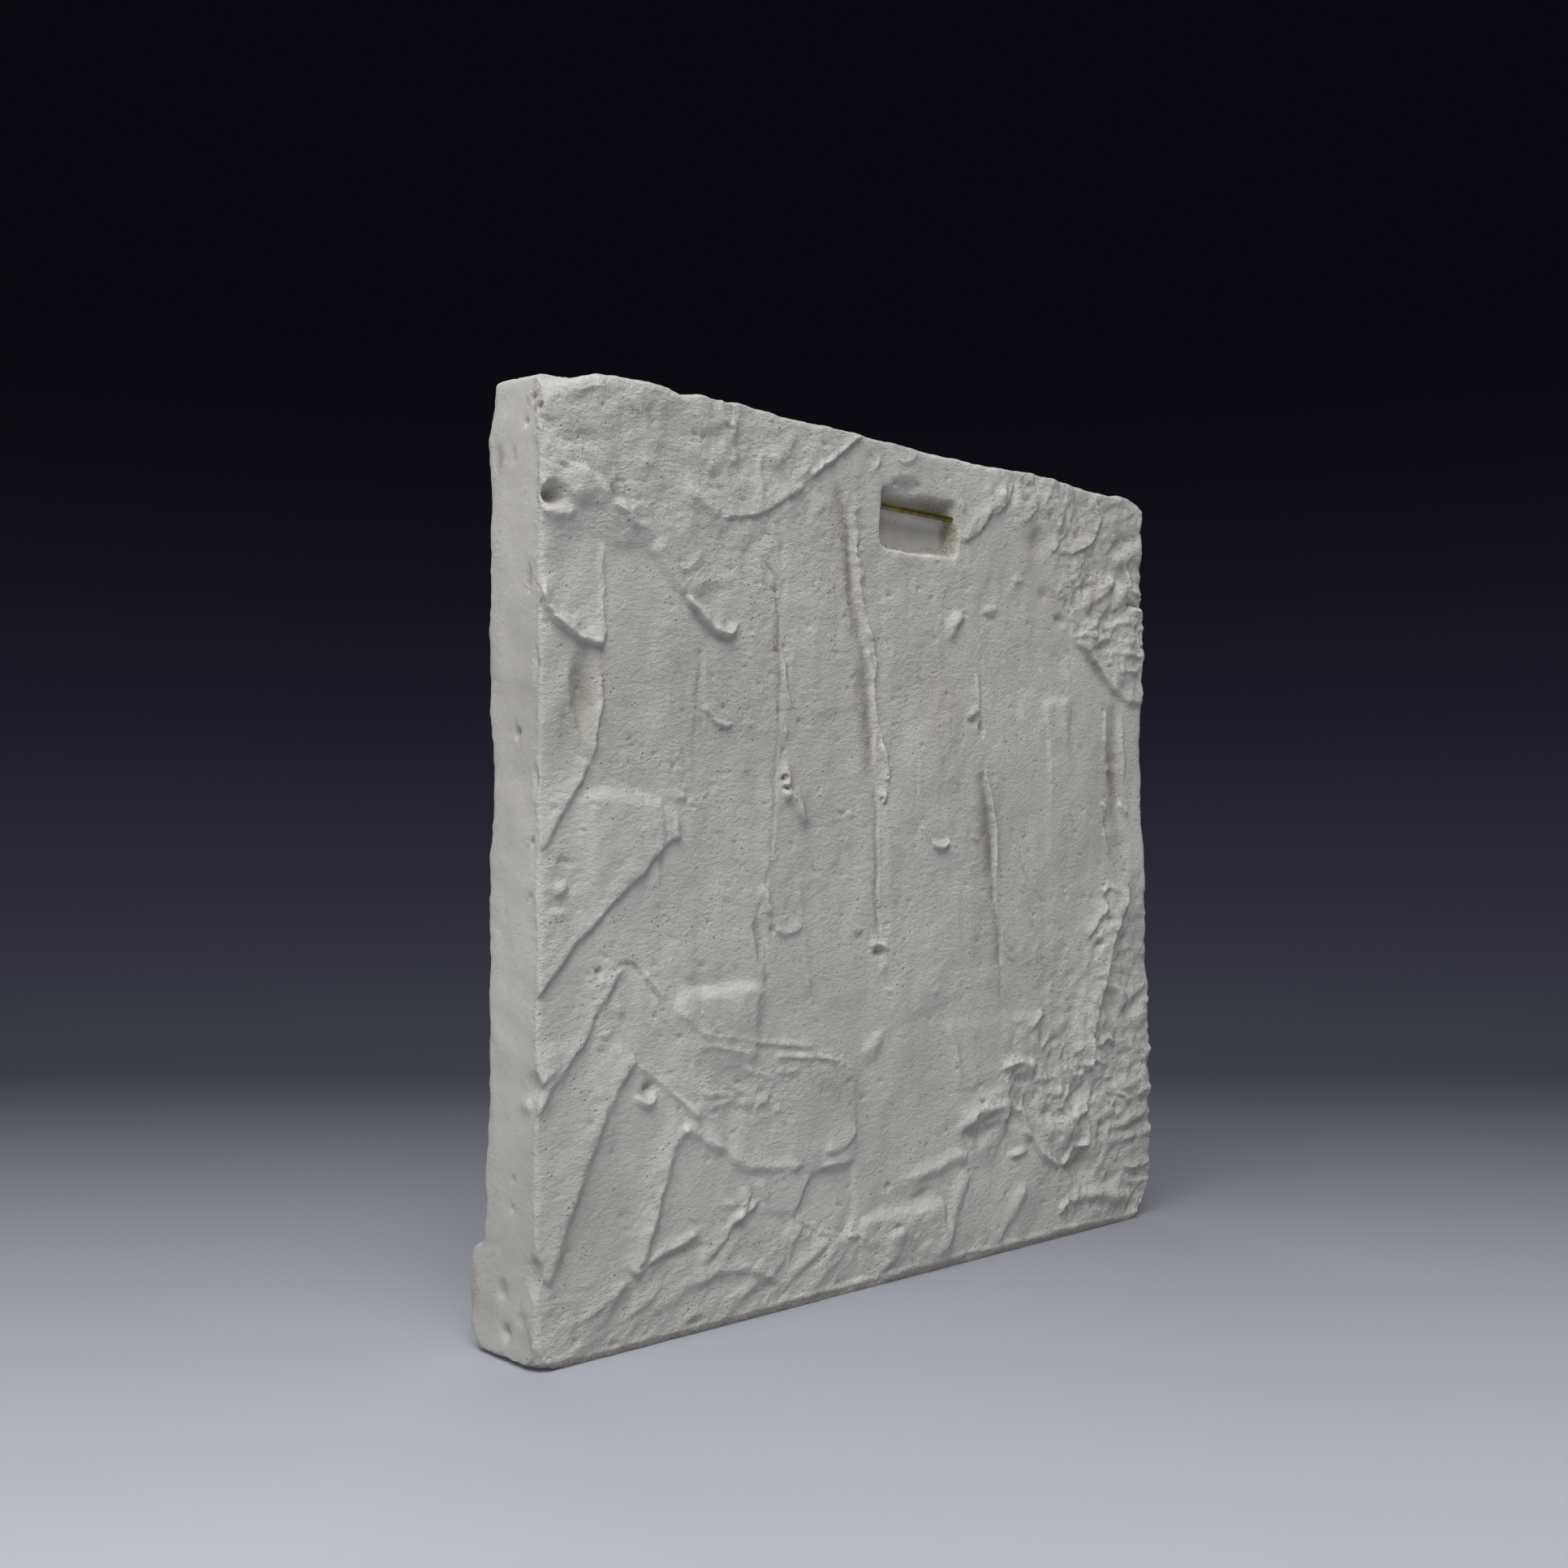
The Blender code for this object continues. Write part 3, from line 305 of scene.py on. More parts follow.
MIDDLE_MARKS = (
    Crest(1.0, 3.0, 0.9, ((-4, 5.0), (30, 3.6), (60, 3.4), (100, 3.8), (140, 5.4), (200, 5.4), (260, 5.8),
        (320, 5.2), (360, 5.4), (400, 4.2), (436, 4.0)), ends=0.02),
    Crest(3.2, 8, 1.7, ((78, 337), (80.6, 332), (86.5, 327), (92, 323.4), (97, 321), (103.8, 321),
        (111, 325)), ends=0.12),
    Crest(-0.9, 1.5, 5.0, ((80, 331), (86, 325), (95, 319), (106, 319)), Fall.SOFT, dirt_and_shade=0.15),
    Crest(1.6, 4, 2.2, ((88, 286.5), (92, 283), (97, 279.6), (103, 278), (108, 279.5)), dirt_and_shade=0.15,
        ends=0.2),
    Crest(-0.5, 1.6, 1.6, ((84.6, 250), (84, 277), (87, 300), (88, 320)), Fall.SOFT, dirt_and_shade=0.35),
    Crest(0.4, 1.2, 4.0, ((90, 264), (89, 280), (89.5, 300), (90, 322)), Fall.SOFT),
    Crest(-0.8, 9, 5, ((76, 157), (90, 158), (108, 159), (124, 157)), Fall.SOFT),
    Crest(2.8, 8, 40, ((69, 147.6), (78, 150), (90, 151), (103, 151.6), (116, 152), (129, 151.6)),
        Fall.SOFT, ends=0.16),
    Crest(0.9, 3, 1.4, ((82, 137.5), (92, 135.5), (106, 133), (120, 130)), dirt_and_shade=0.15),
    Crest(1.2, 4, 1.3, ((112, 131), (124, 128.5), (138, 126.5), (152, 125), (162, 123)), dirt_and_shade=0.15),
    Crest(1.5, 3, 1.2, ((128, 122.3), (135, 121), (147, 120), (160, 118), (172, 116.6), (181, 115)),
        dirt_and_shade=0.4),
    Crest(1.0, 2, 1.2, ((86, 131), (96, 129.5), (106, 127.5), (116, 124.5))),
    Crest(1.1, 3, 1.2, ((83, 112), (90, 108.5), (98, 107), (108, 106.5)), dirt_and_shade=0.2),
    Crest(1.0, 2.4, 1.2, ((90, 104), (102, 103.5), (114, 102), (124, 103)), dirt_and_shade=0.15),
    Crest(0.9, 2, 1.2, ((110, 118), (122, 115), (132, 111))),
    Crest(0.9, 2, 1.2, ((131, 116), (140, 114), (150, 114))),
    Crest(-0.8, 1.6, 1.2, ((124, 357), (129, 354.5), (132.5, 350), (133.5, 343), (134.6, 335),
        (135.4, 320), (135.9, 300), (134.4, 277), (132.6, 254), (131.2, 234), (129, 214), (125.6, 200),
        (121.8, 189), (120, 182), (123, 174), (124, 164), (128, 152)), dirt_and_shade=0.55, ends=0.02),
    Crest(-1.8, 6, 2.6, ((122.6, 190), (121.4, 182), (122.6, 173), (123.4, 163)), Fall.SOFT, dirt_and_shade=0.5,
        ends=0.35),
    Crest(1.3, 1.2, 3, ((124, 180), (124.6, 172), (124.4, 164), (127.4, 153))),
    Crest(-0.6, 1.4, 1.4, ((129, 343.5), (132, 344), (134.5, 341)), dirt_and_shade=0.45),
    Crest(1.3, 1.3, 7, ((136.6, 322), (137.4, 310), (139.5, 300), (142, 291), (143.5, 283)), ends=0.35),
    Crest(0.7, 1.2, 5, ((136, 284), (135.4, 272), (135, 262))),
    Crest(0.8, 1.4, 5, ((133.6, 240), (131, 220), (127, 203))),
    Crest(3.0, 6, 5, ((137, 246.5), (141, 246), (145.5, 244), (149, 239), (152.4, 231)), dirt_and_shade=0.2,
        ends=0.1),
    Crest(2.3, 2.2, 5, ((125.6, 206), (126.4, 198), (128, 192), (130.4, 188))),
    Crest(1.2, 7, 1.4, ((129, 183), (133, 181.5), (140, 180), (147, 181), (151, 184.5)), ends=0.15),
    Crest(0.5, 1.2, 1.2, ((158, 133), (156, 150), (153.5, 168), (151, 186), (148.5, 200), (146, 218))),
    Crest(1.2, 4.5, 1.4, ((162, 65.4), (170, 66), (186, 66.4)), dirt_and_shade=0.1),
    Crest(-0.9, 1.6, 2.4, ((142, 45), (148, 41), (155, 37), (165, 32), (180, 28)), dirt_and_shade=0.25),
    Crest(1.5, 11, 3, ((163, 73.6), (170, 73.6), (178, 74.8), (183, 79), (186, 85)), ends=0.2),
    Crest(0.3, 1.2, 2, ((186, 36), (186, 60), (185.5, 85), (185, 112)), ends=0.05),
    Crest(1.1, 3, 2, ((179, 30), (187, 29), (193, 26))),
    Crest(-0.7, 9, 5, ((192, 41), (210, 41), (226, 41.6), (242, 42)), Fall.SOFT),
    Crest(2.2, 5.5, 30, ((188, 33.6), (200, 33.4), (220, 33.2), (240, 33.8), (252, 35.6)), Fall.SOFT,
        ends=0.10),
    Crest(1.6, 4, 5, ((208, 24), (213, 25.5), (220, 27)), Fall.SOFT),
    Crest(2.0, 6, 6, ((220, 51.5), (233, 53), (246, 55), (258, 57.4), (267, 57), (272, 54)), Fall.SOFT,
        ends=0.2),
    Crest(1.6, 9, 6, ((252, 6), (255, 16), (258.6, 28), (264, 40), (272, 49)), Fall.SOFT, ends=0.1),
    Crest(0.9, 4, 4, ((250, 129), (258, 120), (262, 108), (261, 91)), ends=0.2),
    Crest(1.3, 8, 4, ((148, 5), (160, 12), (170, 19), (182, 24)), Fall.SOFT),
    Crest(1.1, 7, 3, ((142, 14), (152, 20), (162, 26), (170, 30)), Fall.SOFT),
    Crest(1.2, 9, 4, ((200, 5), (210, 13), (217, 22), (222, 29)), Fall.SOFT),
    Crest(1.5, 9, 4, ((238, 6), (247, 11), (254, 18), (258, 28)), Fall.SOFT),
    Crest(1.5, 12, 6, ((288, 4), (300, 16), (312, 27), (320, 40)), Fall.SOFT),
    Crest(1.0, 6, 3, ((306, 22), (312, 30), (318, 37))),
    Crest(1.3, 3, 1.8, ((347, 12), (349, 17), (353, 21), (357, 22)), dirt_and_shade=0.3),
)

SEAM_MARKS = (
    Crest(-1.3, 1.2, 14, ((174, 406), (179, 397), (183.4, 386), (185.4, 372), (186.8, 358), (189.4, 343),
        (193, 330), (196.4, 317), (198, 306), (197.6, 296), (199.6, 284), (201, 270), (201.6, 246)),
        Fall.SOFT, dirt_and_shade=0.62, ends=0.10),
    Crest(1.1, 2.4, 1.0, ((184.4, 397), (187, 384), (188, 372), (189.6, 358), (191.6, 346), (195.4, 333),
        (199, 322), (200.6, 310), (199.6, 300), (201.6, 288), (204.6, 278), (207, 268), (208.6, 258)),
        ends=0.08),
    Crest(1.0, 3, 2, ((193, 331), (197.4, 328.4), (201.4, 324)), ends=0.3),
    Crest(-0.6, 1.6, 5.0, ((201.6, 252), (202, 236), (202.4, 215), (202.4, 195), (204.4, 172)), Fall.SOFT,
        dirt_and_shade=0.55, ends=0.10),
    Crest(0.3, 1.0, 2.0, ((203.4, 240), (203.6, 215), (203.6, 195), (205, 180))),
    Crest(1.9, 1.3, 3.5, ((194, 323), (197, 315), (199, 308), (197.6, 303))),
    Crest(1.8, 1.4, 3.0, ((205, 274), (208, 266), (210, 259), (208.4, 254)), ends=0.12),
    Crest(0.9, 1.5, 3, ((180, 237), (183, 237.5), (185.4, 234))),
    Crest(1.7, 3, 2.4, ((196.6, 171.4), (202, 171.4), (206, 170.6), (210.4, 168.6)), ends=0.2),
    Crest(0.8, 3, 3, ((187, 182), (191, 178.5), (197, 174)), Fall.SOFT),
    Crest(1.0, 2, 2, ((207, 150), (210, 148.5), (213, 147))),
    Crest(1.9, 6, 9, ((190, 113), (196, 119), (202, 124.4), (210, 131)), Fall.SOFT, ends=0.4),
    Crest(-1.3, 1.1, 12, ((284, 268), (287.4, 252), (291, 240), (293.8, 226), (295, 212), (293.6, 194)),
        Fall.SOFT, dirt_and_shade=0.62, ends=0.15),
    Crest(1.2, 2.0, 0.9, ((284.6, 266), (287.4, 257), (290, 249), (292.4, 238), (295.4, 226),
        (296.4, 214), (295.4, 204)), ends=0.10),
    Crest(-1.1, 1.2, 8, ((293.2, 202), (294.6, 187), (297, 172), (299, 152)), Fall.SOFT, dirt_and_shade=0.6,
        ends=0.15),
    Crest(1.3, 2.6, 1.2, ((291, 194), (294, 183), (297, 174), (303, 164), (311, 157)), ends=0.1),
    Crest(0.8, 1.2, 2, ((298, 180), (303, 171), (309, 164.5))),
    Crest(-0.6, 1.3, 1.0, ((297, 160), (297.6, 145), (299, 126)), dirt_and_shade=0.45),
    Crest(1.2, 4, 3, ((272, 289), (278, 293), (284, 294.5)), Fall.SOFT),
    Crest(1.2, 2, 2.6, ((283, 294), (280.6, 304), (279, 318))),
    Crest(-0.9, 1.8, 1.5, ((309, 228), (315, 221), (319, 210), (323, 202), (329, 193), (335, 190),
        (342, 193)), dirt_and_shade=0.25),
    Crest(0.35, 1.4, 2.0, ((232.6, 234), (232.8, 262), (232.6, 292))),
    Crest(-0.3, 2.0, 1.0, ((230.6, 234), (231, 262), (230.8, 290)), Fall.SOFT, dirt_and_shade=0.15),
    Crest(1.2, 2, 1.6, ((233.6, 233), (237, 230), (240.4, 227.6), (243, 223.6))),
    Crest(2.4, 4.5, 1.6, ((242, 225.6), (245.6, 222), (250, 220.6), (254, 222), (256, 226)), dirt_and_shade=0.1,
        ends=0.2),
    Crest(1.1, 1.8, 1.6, ((273, 227.6), (276, 225.4), (279.6, 226))),
    Crest(1.2, 4, 3, ((283, 348), (291, 349.4), (299.5, 351)), Fall.SOFT, ends=0.3),
    Crest(-0.8, 3, 2, ((283, 345), (291, 344.6), (298, 346)), Fall.SOFT, dirt_and_shade=0.25),
    Crest(1.5, 5.5, 60, ((334.6, 300), (345, 301), (364, 302)), Fall.SOFT, ends=0.22),
    Crest(0.7, 1.2, 3, ((336, 282), (336.4, 290), (336.6, 298)), dirt_and_shade=0.2),
    Crest(0.6, 1.5, 1.5, ((359.5, 306), (359, 320), (358.4, 336))),
    Crest(0.35, 1.8, 3, ((342, 230), (342.6, 255), (341, 280)), Fall.SOFT),
    Crest(0.4, 3, 4, ((262, 160), (262, 190), (264, 215)), Fall.SOFT),
    Crest(-1.1, 8, 8, ((403, 312), (402, 300), (401.6, 285), (401, 270), (402, 252), (405, 236),
        (410, 216)), Fall.SOFT, dirt_and_shade=0.5, ends=0.18),
    Crest(1.0, 2.4, 3, ((393.4, 304), (393, 290), (393.4, 276))),
    Crest(1.0, 3, 2.4, ((409, 304), (410, 286), (411, 268), (411, 254))),
    Crest(0.9, 2, 1.6, ((392, 264), (398, 266.4), (404, 263))),
    Crest(1.6, 3, 2.4, ((388, 244.6), (391, 246), (394.6, 240))),
    Crest(1.7, 3, 2.4, ((407, 248), (410, 243), (416, 239.6))),
    Crest(0.9, 3, 3, ((391, 234), (393, 224), (398, 214)), Fall.SOFT),
)

FAR_MARKS = (
    Crest(1.6, 9, 2.6, ((266, 385), (272, 387), (279, 390), (285, 396), (290, 402), (295, 407),
        (301, 413), (306, 421)), dirt_and_shade=0.1, ends=0.12),
    Crest(1.5, 5, 2.0, ((290, 399), (297, 404), (303, 411), (309, 419), (314, 427))),
    Crest(1.0, 6, 1.6, ((311, 398.6), (320, 403), (330, 409), (340, 417.6), (346, 424)), dirt_and_shade=0.15),
    Crest(0.9, 4, 1.4, ((340, 386.6), (345, 390), (350, 393.4), (355, 398), (359, 403))),
    Crest(1.6, 9, 1.6, ((349, 389), (358, 389.6), (367.6, 391.7), (375, 395), (381.4, 400.3),
        (386.6, 410.7), (393.4, 419.3)), dirt_and_shade=0.15, ends=0.1),
    Crest(0.8, 4, 2, ((308, 366), (314, 368), (321, 369.4)), Fall.SOFT),
    Crest(1.5, 9, 4, ((368, 356), (378, 361), (390, 368), (399, 375), (406, 384)), Fall.SOFT),
    Crest(1.8, 5, 2.4, ((404, 398), (411, 392), (415, 384), (418, 376), (424, 373), (434, 373))),
    Crest(1.2, 5, 2.0, ((364, 341), (372, 343.4), (382, 343), (390, 346))),
    Crest(1.5, 7, 1.8, ((366.7, 339), (373, 336.4), (379.7, 333), (388.3, 325.3), (394, 319.6),
        (400.3, 314), (407, 310.6), (414, 308), (431, 306)), dirt_and_shade=0.15, ends=0.05),
    Crest(-1.2, 2, 8, ((374, 334), (386, 325), (397, 313), (412, 306)), Fall.SOFT, dirt_and_shade=0.2, ends=0.3),
    Crest(1.3, 4, 1.8, ((400, 334), (412, 336), (430, 333))),
    Crest(1.2, 4, 1.8, ((404, 323), (412, 325.4), (430, 324))),
    Crest(1.1, 4, 2, ((399, 350), (411, 354), (428, 353))),
    Crest(1.1, 2.4, 1.6, ((397.6, 338), (397.8, 328))),
    Crest(-1.6, 1.4, 1.4, ((414, 364.6), (420, 365), (436, 365)), dirt_and_shade=0.6),
    Crest(1.5, 3, 2, ((321, 422), (325, 426), (330, 424))),
    Crest(1.2, 3, 2, ((378, 418), (383, 421), (388, 417))),
    Crest(5.2, 17, 2.6, ((375.6, 90), (375.8, 100), (376.4, 110), (379, 122), (384, 132), (388, 141),
        (391, 150), (394, 160), (399, 171), (406, 184), (414, 196)), ends=0.06),
    Crest(1.6, 4, 3, ((360, 93), (367, 91), (374, 92))),
    Crest(1.4, 6, 6, ((360, 96), (364, 112), (368, 130), (374, 148)), Fall.SOFT),
    Crest(3.8, 10, 6, ((261, 70), (268, 75), (277, 79.6), (288, 81.6), (297, 81), (303, 77), (306, 73)),
        ends=0.2),
    Crest(2.8, 6, 4, ((296, 99), (303, 102), (312, 103), (322, 101.4), (333, 100)), ends=0.25),
    Crest(1.6, 5, 3, ((319, 119), (325, 122.4), (331, 127), (338, 128.6)), Fall.SOFT),
    Crest(1.3, 3, 2, ((333, 107), (337, 112), (342, 114))),
    Crest(2.6, 4, 3.4, ((309, 77), (316, 75), (321, 64), (325, 59), (330, 54), (336, 49), (343, 44.6),
        (350, 41)), dirt_and_shade=0.15, ends=0.08),
    Crest(2.4, 3.5, 3.0, ((349, 41), (354, 46), (360.7, 50.3), (367, 51.4), (375, 51.2)), ends=0.12),
    Crest(1.8, 5, 3, ((304, 52), (312, 53.4), (322, 55)), dirt_and_shade=0.1),
    Crest(1.6, 10, 8, ((328, 64), (344, 62), (358, 62), (370, 60)), Fall.SOFT),
    Crest(1.4, 4, 1.6, ((373, 48), (374, 58), (374, 66))),
    Crest(2.2, 6, 6, ((354, 22), (364, 22.6), (378, 22.4), (392, 20), (406, 16), (420, 12)), Fall.SOFT,
        ends=0.15),
    Crest(1.5, 3, 2.4, ((348, 15), (351, 18.6), (356, 21.4)), dirt_and_shade=0.3),
    Crest(2.0, 6, 6, ((386, 143), (396, 140), (404, 133), (408, 122)), Fall.SOFT),
    Crest(1.8, 3, 2.4, ((354, 70.4), (362, 68.6), (370, 70), (376, 74.6))),
    Crest(2.0, 3, 2.4, ((398.6, 75), (403, 76.4), (408, 74), (411.5, 68.4))),
    Crest(2.2, 5, 2.4, ((384, 105), (389, 108), (395, 109), (399, 104))),
    Crest(2.0, 4, 3, ((376, 97), (382, 99), (388, 95))),
    Crest(2.0, 6, 3, ((388, 191), (394, 197), (404, 195), (415, 193)), ends=0.15),
    Crest(2.0, 9, 3, ((373, 167), (380, 175), (388, 183), (394, 188)), ends=0.15),
    Crest(1.5, 8, 4, ((378, 166), (390, 170), (402, 174), (412, 174)), Fall.SOFT),
    Crest(1.6, 7, 3, ((386, 59), (400, 58), (418, 61), (436, 64)), Fall.SOFT, ends=0.2),
    Crest(1.5, 7, 3, ((390, 48.6), (406, 50), (422, 50), (436, 54)), Fall.SOFT, ends=0.2),
    Crest(1.3, 3, 2, ((416, 74), (424, 78), (434, 77))),
    Crest(1.3, 5, 2.4, ((404, 34), (418, 32), (432, 36))),
)

LUMPS_AND_HOLLOWS = (
    Dome(-8.0, 5.4, 371.6, 7.6, 7.2, dirt_and_shade=0.55), Dome(-2.2, 11, 383.5, 5.5, 2.8, -10),
    Dome(-2.4, 41, 375, 10, 7), Dome(2.8, 20, 376, 13, 9), Dome(-1.0, 22, 399, 12, 7),
    Dome(0.8, 50, 394, 14, 9), Dome(-1.0, 68, 372, 14, 10), Dome(1.2, 84, 381, 15, 8, -25),
    Dome(-0.8, 60, 412, 18, 9), Dome(0.8, 80, 402, 14, 9), Dome(1.0, 44, 357, 9, 6),
    Dome(-1.0, 112, 400, 14, 9, 40), Dome(-1.4, 2, 404, 9, 7), Dome(-1.2, 75, 431, 8, 5),
    Dome(-0.8, 116, 388, 12, 7, 25), Dome(-4.4, 22, 288, 9.0, 25, dirt_and_shade=0.25), Dome(-1.2, 14, 345, 12, 14),
    Dome(1.2, 8, 280, 8, 18), Dome(-2.2, 30.4, 167, 2.6, 2.2, dirt_and_shade=0.4), Dome(-1.2, 34, 173, 2, 1.4),
    Dome(1.4, 31, 162.6, 2.8, 2.2), Dome(1.6, 12, 203, 5, 4), Dome(1.4, 9, 193, 5, 4),
    Dome(-1.6, 61, 146, 2, 1.6, dirt_and_shade=0.3), Dome(-3.4, 57.6, 114.8, 5.4, 3.6, dirt_and_shade=0.3),
    Dome(1.4, 40, 150, 4, 6, 30), Dome(1.0, 35, 141, 4, 5, 30), Dome(2.0, 6, 132, 9, 9, 30),
    Dome(-0.8, 44, 88, 8, 16, 20), Dome(-0.8, 8, 108, 4, 8, -20, dirt_and_shade=0.2),
    Dome(3.2, 139.6, 254, 5.0, 10.0), Dome(-4.4, 138.4, 253.6, 2.6, 3.0, dirt_and_shade=0.9),
    Dome(-4.0, 139.8, 249, 3.2, 1.7, dirt_and_shade=0.5), Dome(-2.4, 131, 181.6, 2.8, 3.0),
    Dome(-1.5, 136, 286, 1.8, 2.2, dirt_and_shade=0.3), Dome(1.2, 139, 276, 3, 5),
    Dome(2.4, 206.4, 246.4, 4.8, 5.2), Dome(-2.8, 205, 245.2, 1.7, 1.5, dirt_and_shade=0.7),
    Dome(-1.8, 208.6, 242.6, 2.0, 1.3, dirt_and_shade=0.2), Dome(-2.6, 203.5, 167.4, 5, 2.6, dirt_and_shade=0.5),
    Dome(0.9, 206, 160, 4, 5), Dome(-1.2, 190, 177, 6, 3, dirt_and_shade=0.15),
    Dome(-3.0, 283.6, 284, 3.0, 5.2, dirt_and_shade=0.6), Dome(-1.6, 277, 288, 6, 4, dirt_and_shade=0.35),
    Dome(3.0, 262.6, 342.0, 8.5, 5.2, 28), Dome(2.2, 258.5, 336, 7.5, 8.5),
    Dome(-1.6, 402, 271, 8, 6, dirt_and_shade=0.5), Dome(-1.2, 410, 222, 7, 8, dirt_and_shade=0.25),
    Dome(-1.2, 395, 234, 5, 7, dirt_and_shade=0.25), Dome(-1.6, 236, 42, 10, 5),
    Dome(-1.8, 215, 29, 4.2, 2.4, dirt_and_shade=0.3), Dome(-1.5, 210, 50, 3, 3),
    Dome(-2.2, 284, 68, 20, 6, dirt_and_shade=0.15), Dome(-5.4, 366, 39.5, 15, 12.5, -25, dirt_and_shade=0.25),
    Dome(-2.2, 370, 41, 5, 10, dirt_and_shade=0.35), Dome(-3.6, 395, 130, 9, 14, 25, dirt_and_shade=0.15),
    Dome(-2.8, 365, 80, 11, 9, 10), Dome(-1.6, 370, 82, 5, 5, dirt_and_shade=0.15), Dome(-2.0, 400, 69, 6, 4),
    Dome(-2.0, 308, 72, 7, 6), Dome(-2.4, 397, 178, 6, 4, dirt_and_shade=0.3),
    Dome(-2.2, 386, 164, 6, 3, dirt_and_shade=0.25), Dome(-2.0, 408, 166, 5, 5, dirt_and_shade=0.2),
    Dome(-2.6, 282, 84, 2.8, 2.4, dirt_and_shade=0.5), Dome(-2.8, 315, 93, 9, 5, dirt_and_shade=0.15),
    Dome(-1.8, 327, 95, 5, 4), Dome(1.6, 350, 56, 14, 9), Dome(-1.8, 338, 73, 9, 4, dirt_and_shade=0.1),
    Dome(1.6, 346, 84, 10, 5), Dome(-1.6, 386, 58, 6, 8), Dome(-1.6, 382, 80, 5, 7),
    Dome(1.6, 420, 120, 10, 9), Dome(-1.6, 424, 72, 7, 5), Dome(-1.5, 396, 84, 7, 4),
    Dome(-1.5, 394, 28, 9, 4), Dome(1.4, 412, 80, 9, 5, 15), Dome(-1.5, 346, 112, 9, 5),
    Dome(1.3, 352, 122, 8, 6), Dome(-2.0, 333, 392, 15, 10, 20, dirt_and_shade=0.15), Dome(2.0, 350, 405, 9, 7),
    Dome(2.4, 406, 391, 10, 7, 20), Dome(1.8, 399, 377, 7, 5, 30), Dome(-1.6, 375, 372, 7, 5, 30),
    Dome(-1.4, 388, 364, 6, 4), Dome(1.6, 340, 412, 8, 6), Dome(-1.6, 323, 414, 6, 4, dirt_and_shade=0.3),
    Dome(1.8, 301, 416, 7, 5, 45), Dome(-2.2, 394.5, 346.5, 4.0, 4.5, dirt_and_shade=0.45),
    Dome(1.6, 384, 349, 7, 6), Dome(-1.6, 352, 350, 8, 5, dirt_and_shade=0.3), Dome(-1.2, 338, 362, 8, 8, dirt_and_shade=0.1),
    Dome(-1.4, 418, 404, 9, 7), Dome(1.6, 408, 372, 7, 8), Dome(-1.3, 378, 372, 8, 4, 20),
    Dome(1.6, 104, 57, 7, 4), Dome(1.3, 124, 101, 6, 3), Dome(-1.6, 129, 102, 2, 2, dirt_and_shade=0.3),
    Dome(1.3, 134, 97, 4, 3), Dome(-1.0, 110, 112, 5, 2), Dome(1.0, 118, 124, 8, 2.5, -12),
    Dome(-1.6, 38, 6.5, 5, 2.6, dirt_and_shade=0.25), Dome(-1.4, 19, 12, 4, 2, dirt_and_shade=0.3),
    Dome(-1.4, 85, 7, 7, 1.6, dirt_and_shade=0.3), Dome(-1.2, 71, 257, 1.8, 2.6, dirt_and_shade=0.4),
    Dome(-1.0, 59.8, 263, 1.2, 1.6, dirt_and_shade=0.3), Dome(-1.0, 61.5, 243.5, 1.6, 1.3, dirt_and_shade=0.3),
    Dome(-0.9, 46, 277, 1.3, 1.3, dirt_and_shade=0.3), Dome(-0.9, 104, 203, 2.4, 2.0),
    Dome(-0.8, 71.6, 264, 1.2, 1.2, dirt_and_shade=0.3),
)

STAINS = (
    Dome(1.0, 263.4, 389, 5.2, 24), Dome(0.9, 24, 280, 5, 22), Dome(0.6, 123, 172, 4, 11),
    Dome(0.7, 139, 252, 4, 8), Dome(0.8, 134, 315, 3.5, 40), Dome(0.4, 129, 215, 2.5, 22),
    Dome(0.5, 87, 280, 3.5, 26), Dome(0.8, 194, 285, 7, 40), Dome(0.7, 182, 355, 7, 46),
    Dome(0.6, 201, 205, 2.5, 36), Dome(1.0, 287, 226, 9, 34), Dome(0.7, 296, 172, 4, 24),
    Dome(0.9, 402, 262, 9, 34), Dome(0.6, 402, 220, 9, 16), Dome(0.5, 217, 29, 7, 5),
    Dome(0.6, 5, 372, 6, 7), Dome(0.5, 205, 169, 6, 6), Dome(0.6, 335, 288, 2.5, 12),
    Dome(0.7, 394, 346, 5, 6), Dome(0.5, 420, 365, 12, 3), Dome(0.6, 352, 350, 10, 6),
    Dome(0.5, 384, 324, 22, 6, -45), Dome(0.4, 282, 290, 12, 6), Dome(0.6, 330, 397, 8, 12),
    Dome(0.4, 330, 412, 12, 5, 20), Dome(0.4, 352, 312, 3, 14), Dome(0.5, 407, 420, 10, 4),
    Dome(0.4, 316, 410, 5, 5), Dome(0.4, 368, 43, 5, 8),
)
PINK_PATCHES = (
    Dome(0.7, 228, 384, 28, 12), Dome(0.5, 24, 292, 8, 16), Dome(0.9, 178, 385, 5, 22),
    Dome(0.8, 183, 350, 5, 26), Dome(0.7, 191, 300, 5, 26), Dome(0.6, 325, 388, 14, 12),
    Dome(0.7, 342, 362, 8, 10), Dome(0.8, 386, 366, 8, 7), Dome(0.3, 250, 300, 24, 40),
    Dome(0.5, 286, 225, 5, 14), Dome(0.5, 30, 296, 4, 12),
)

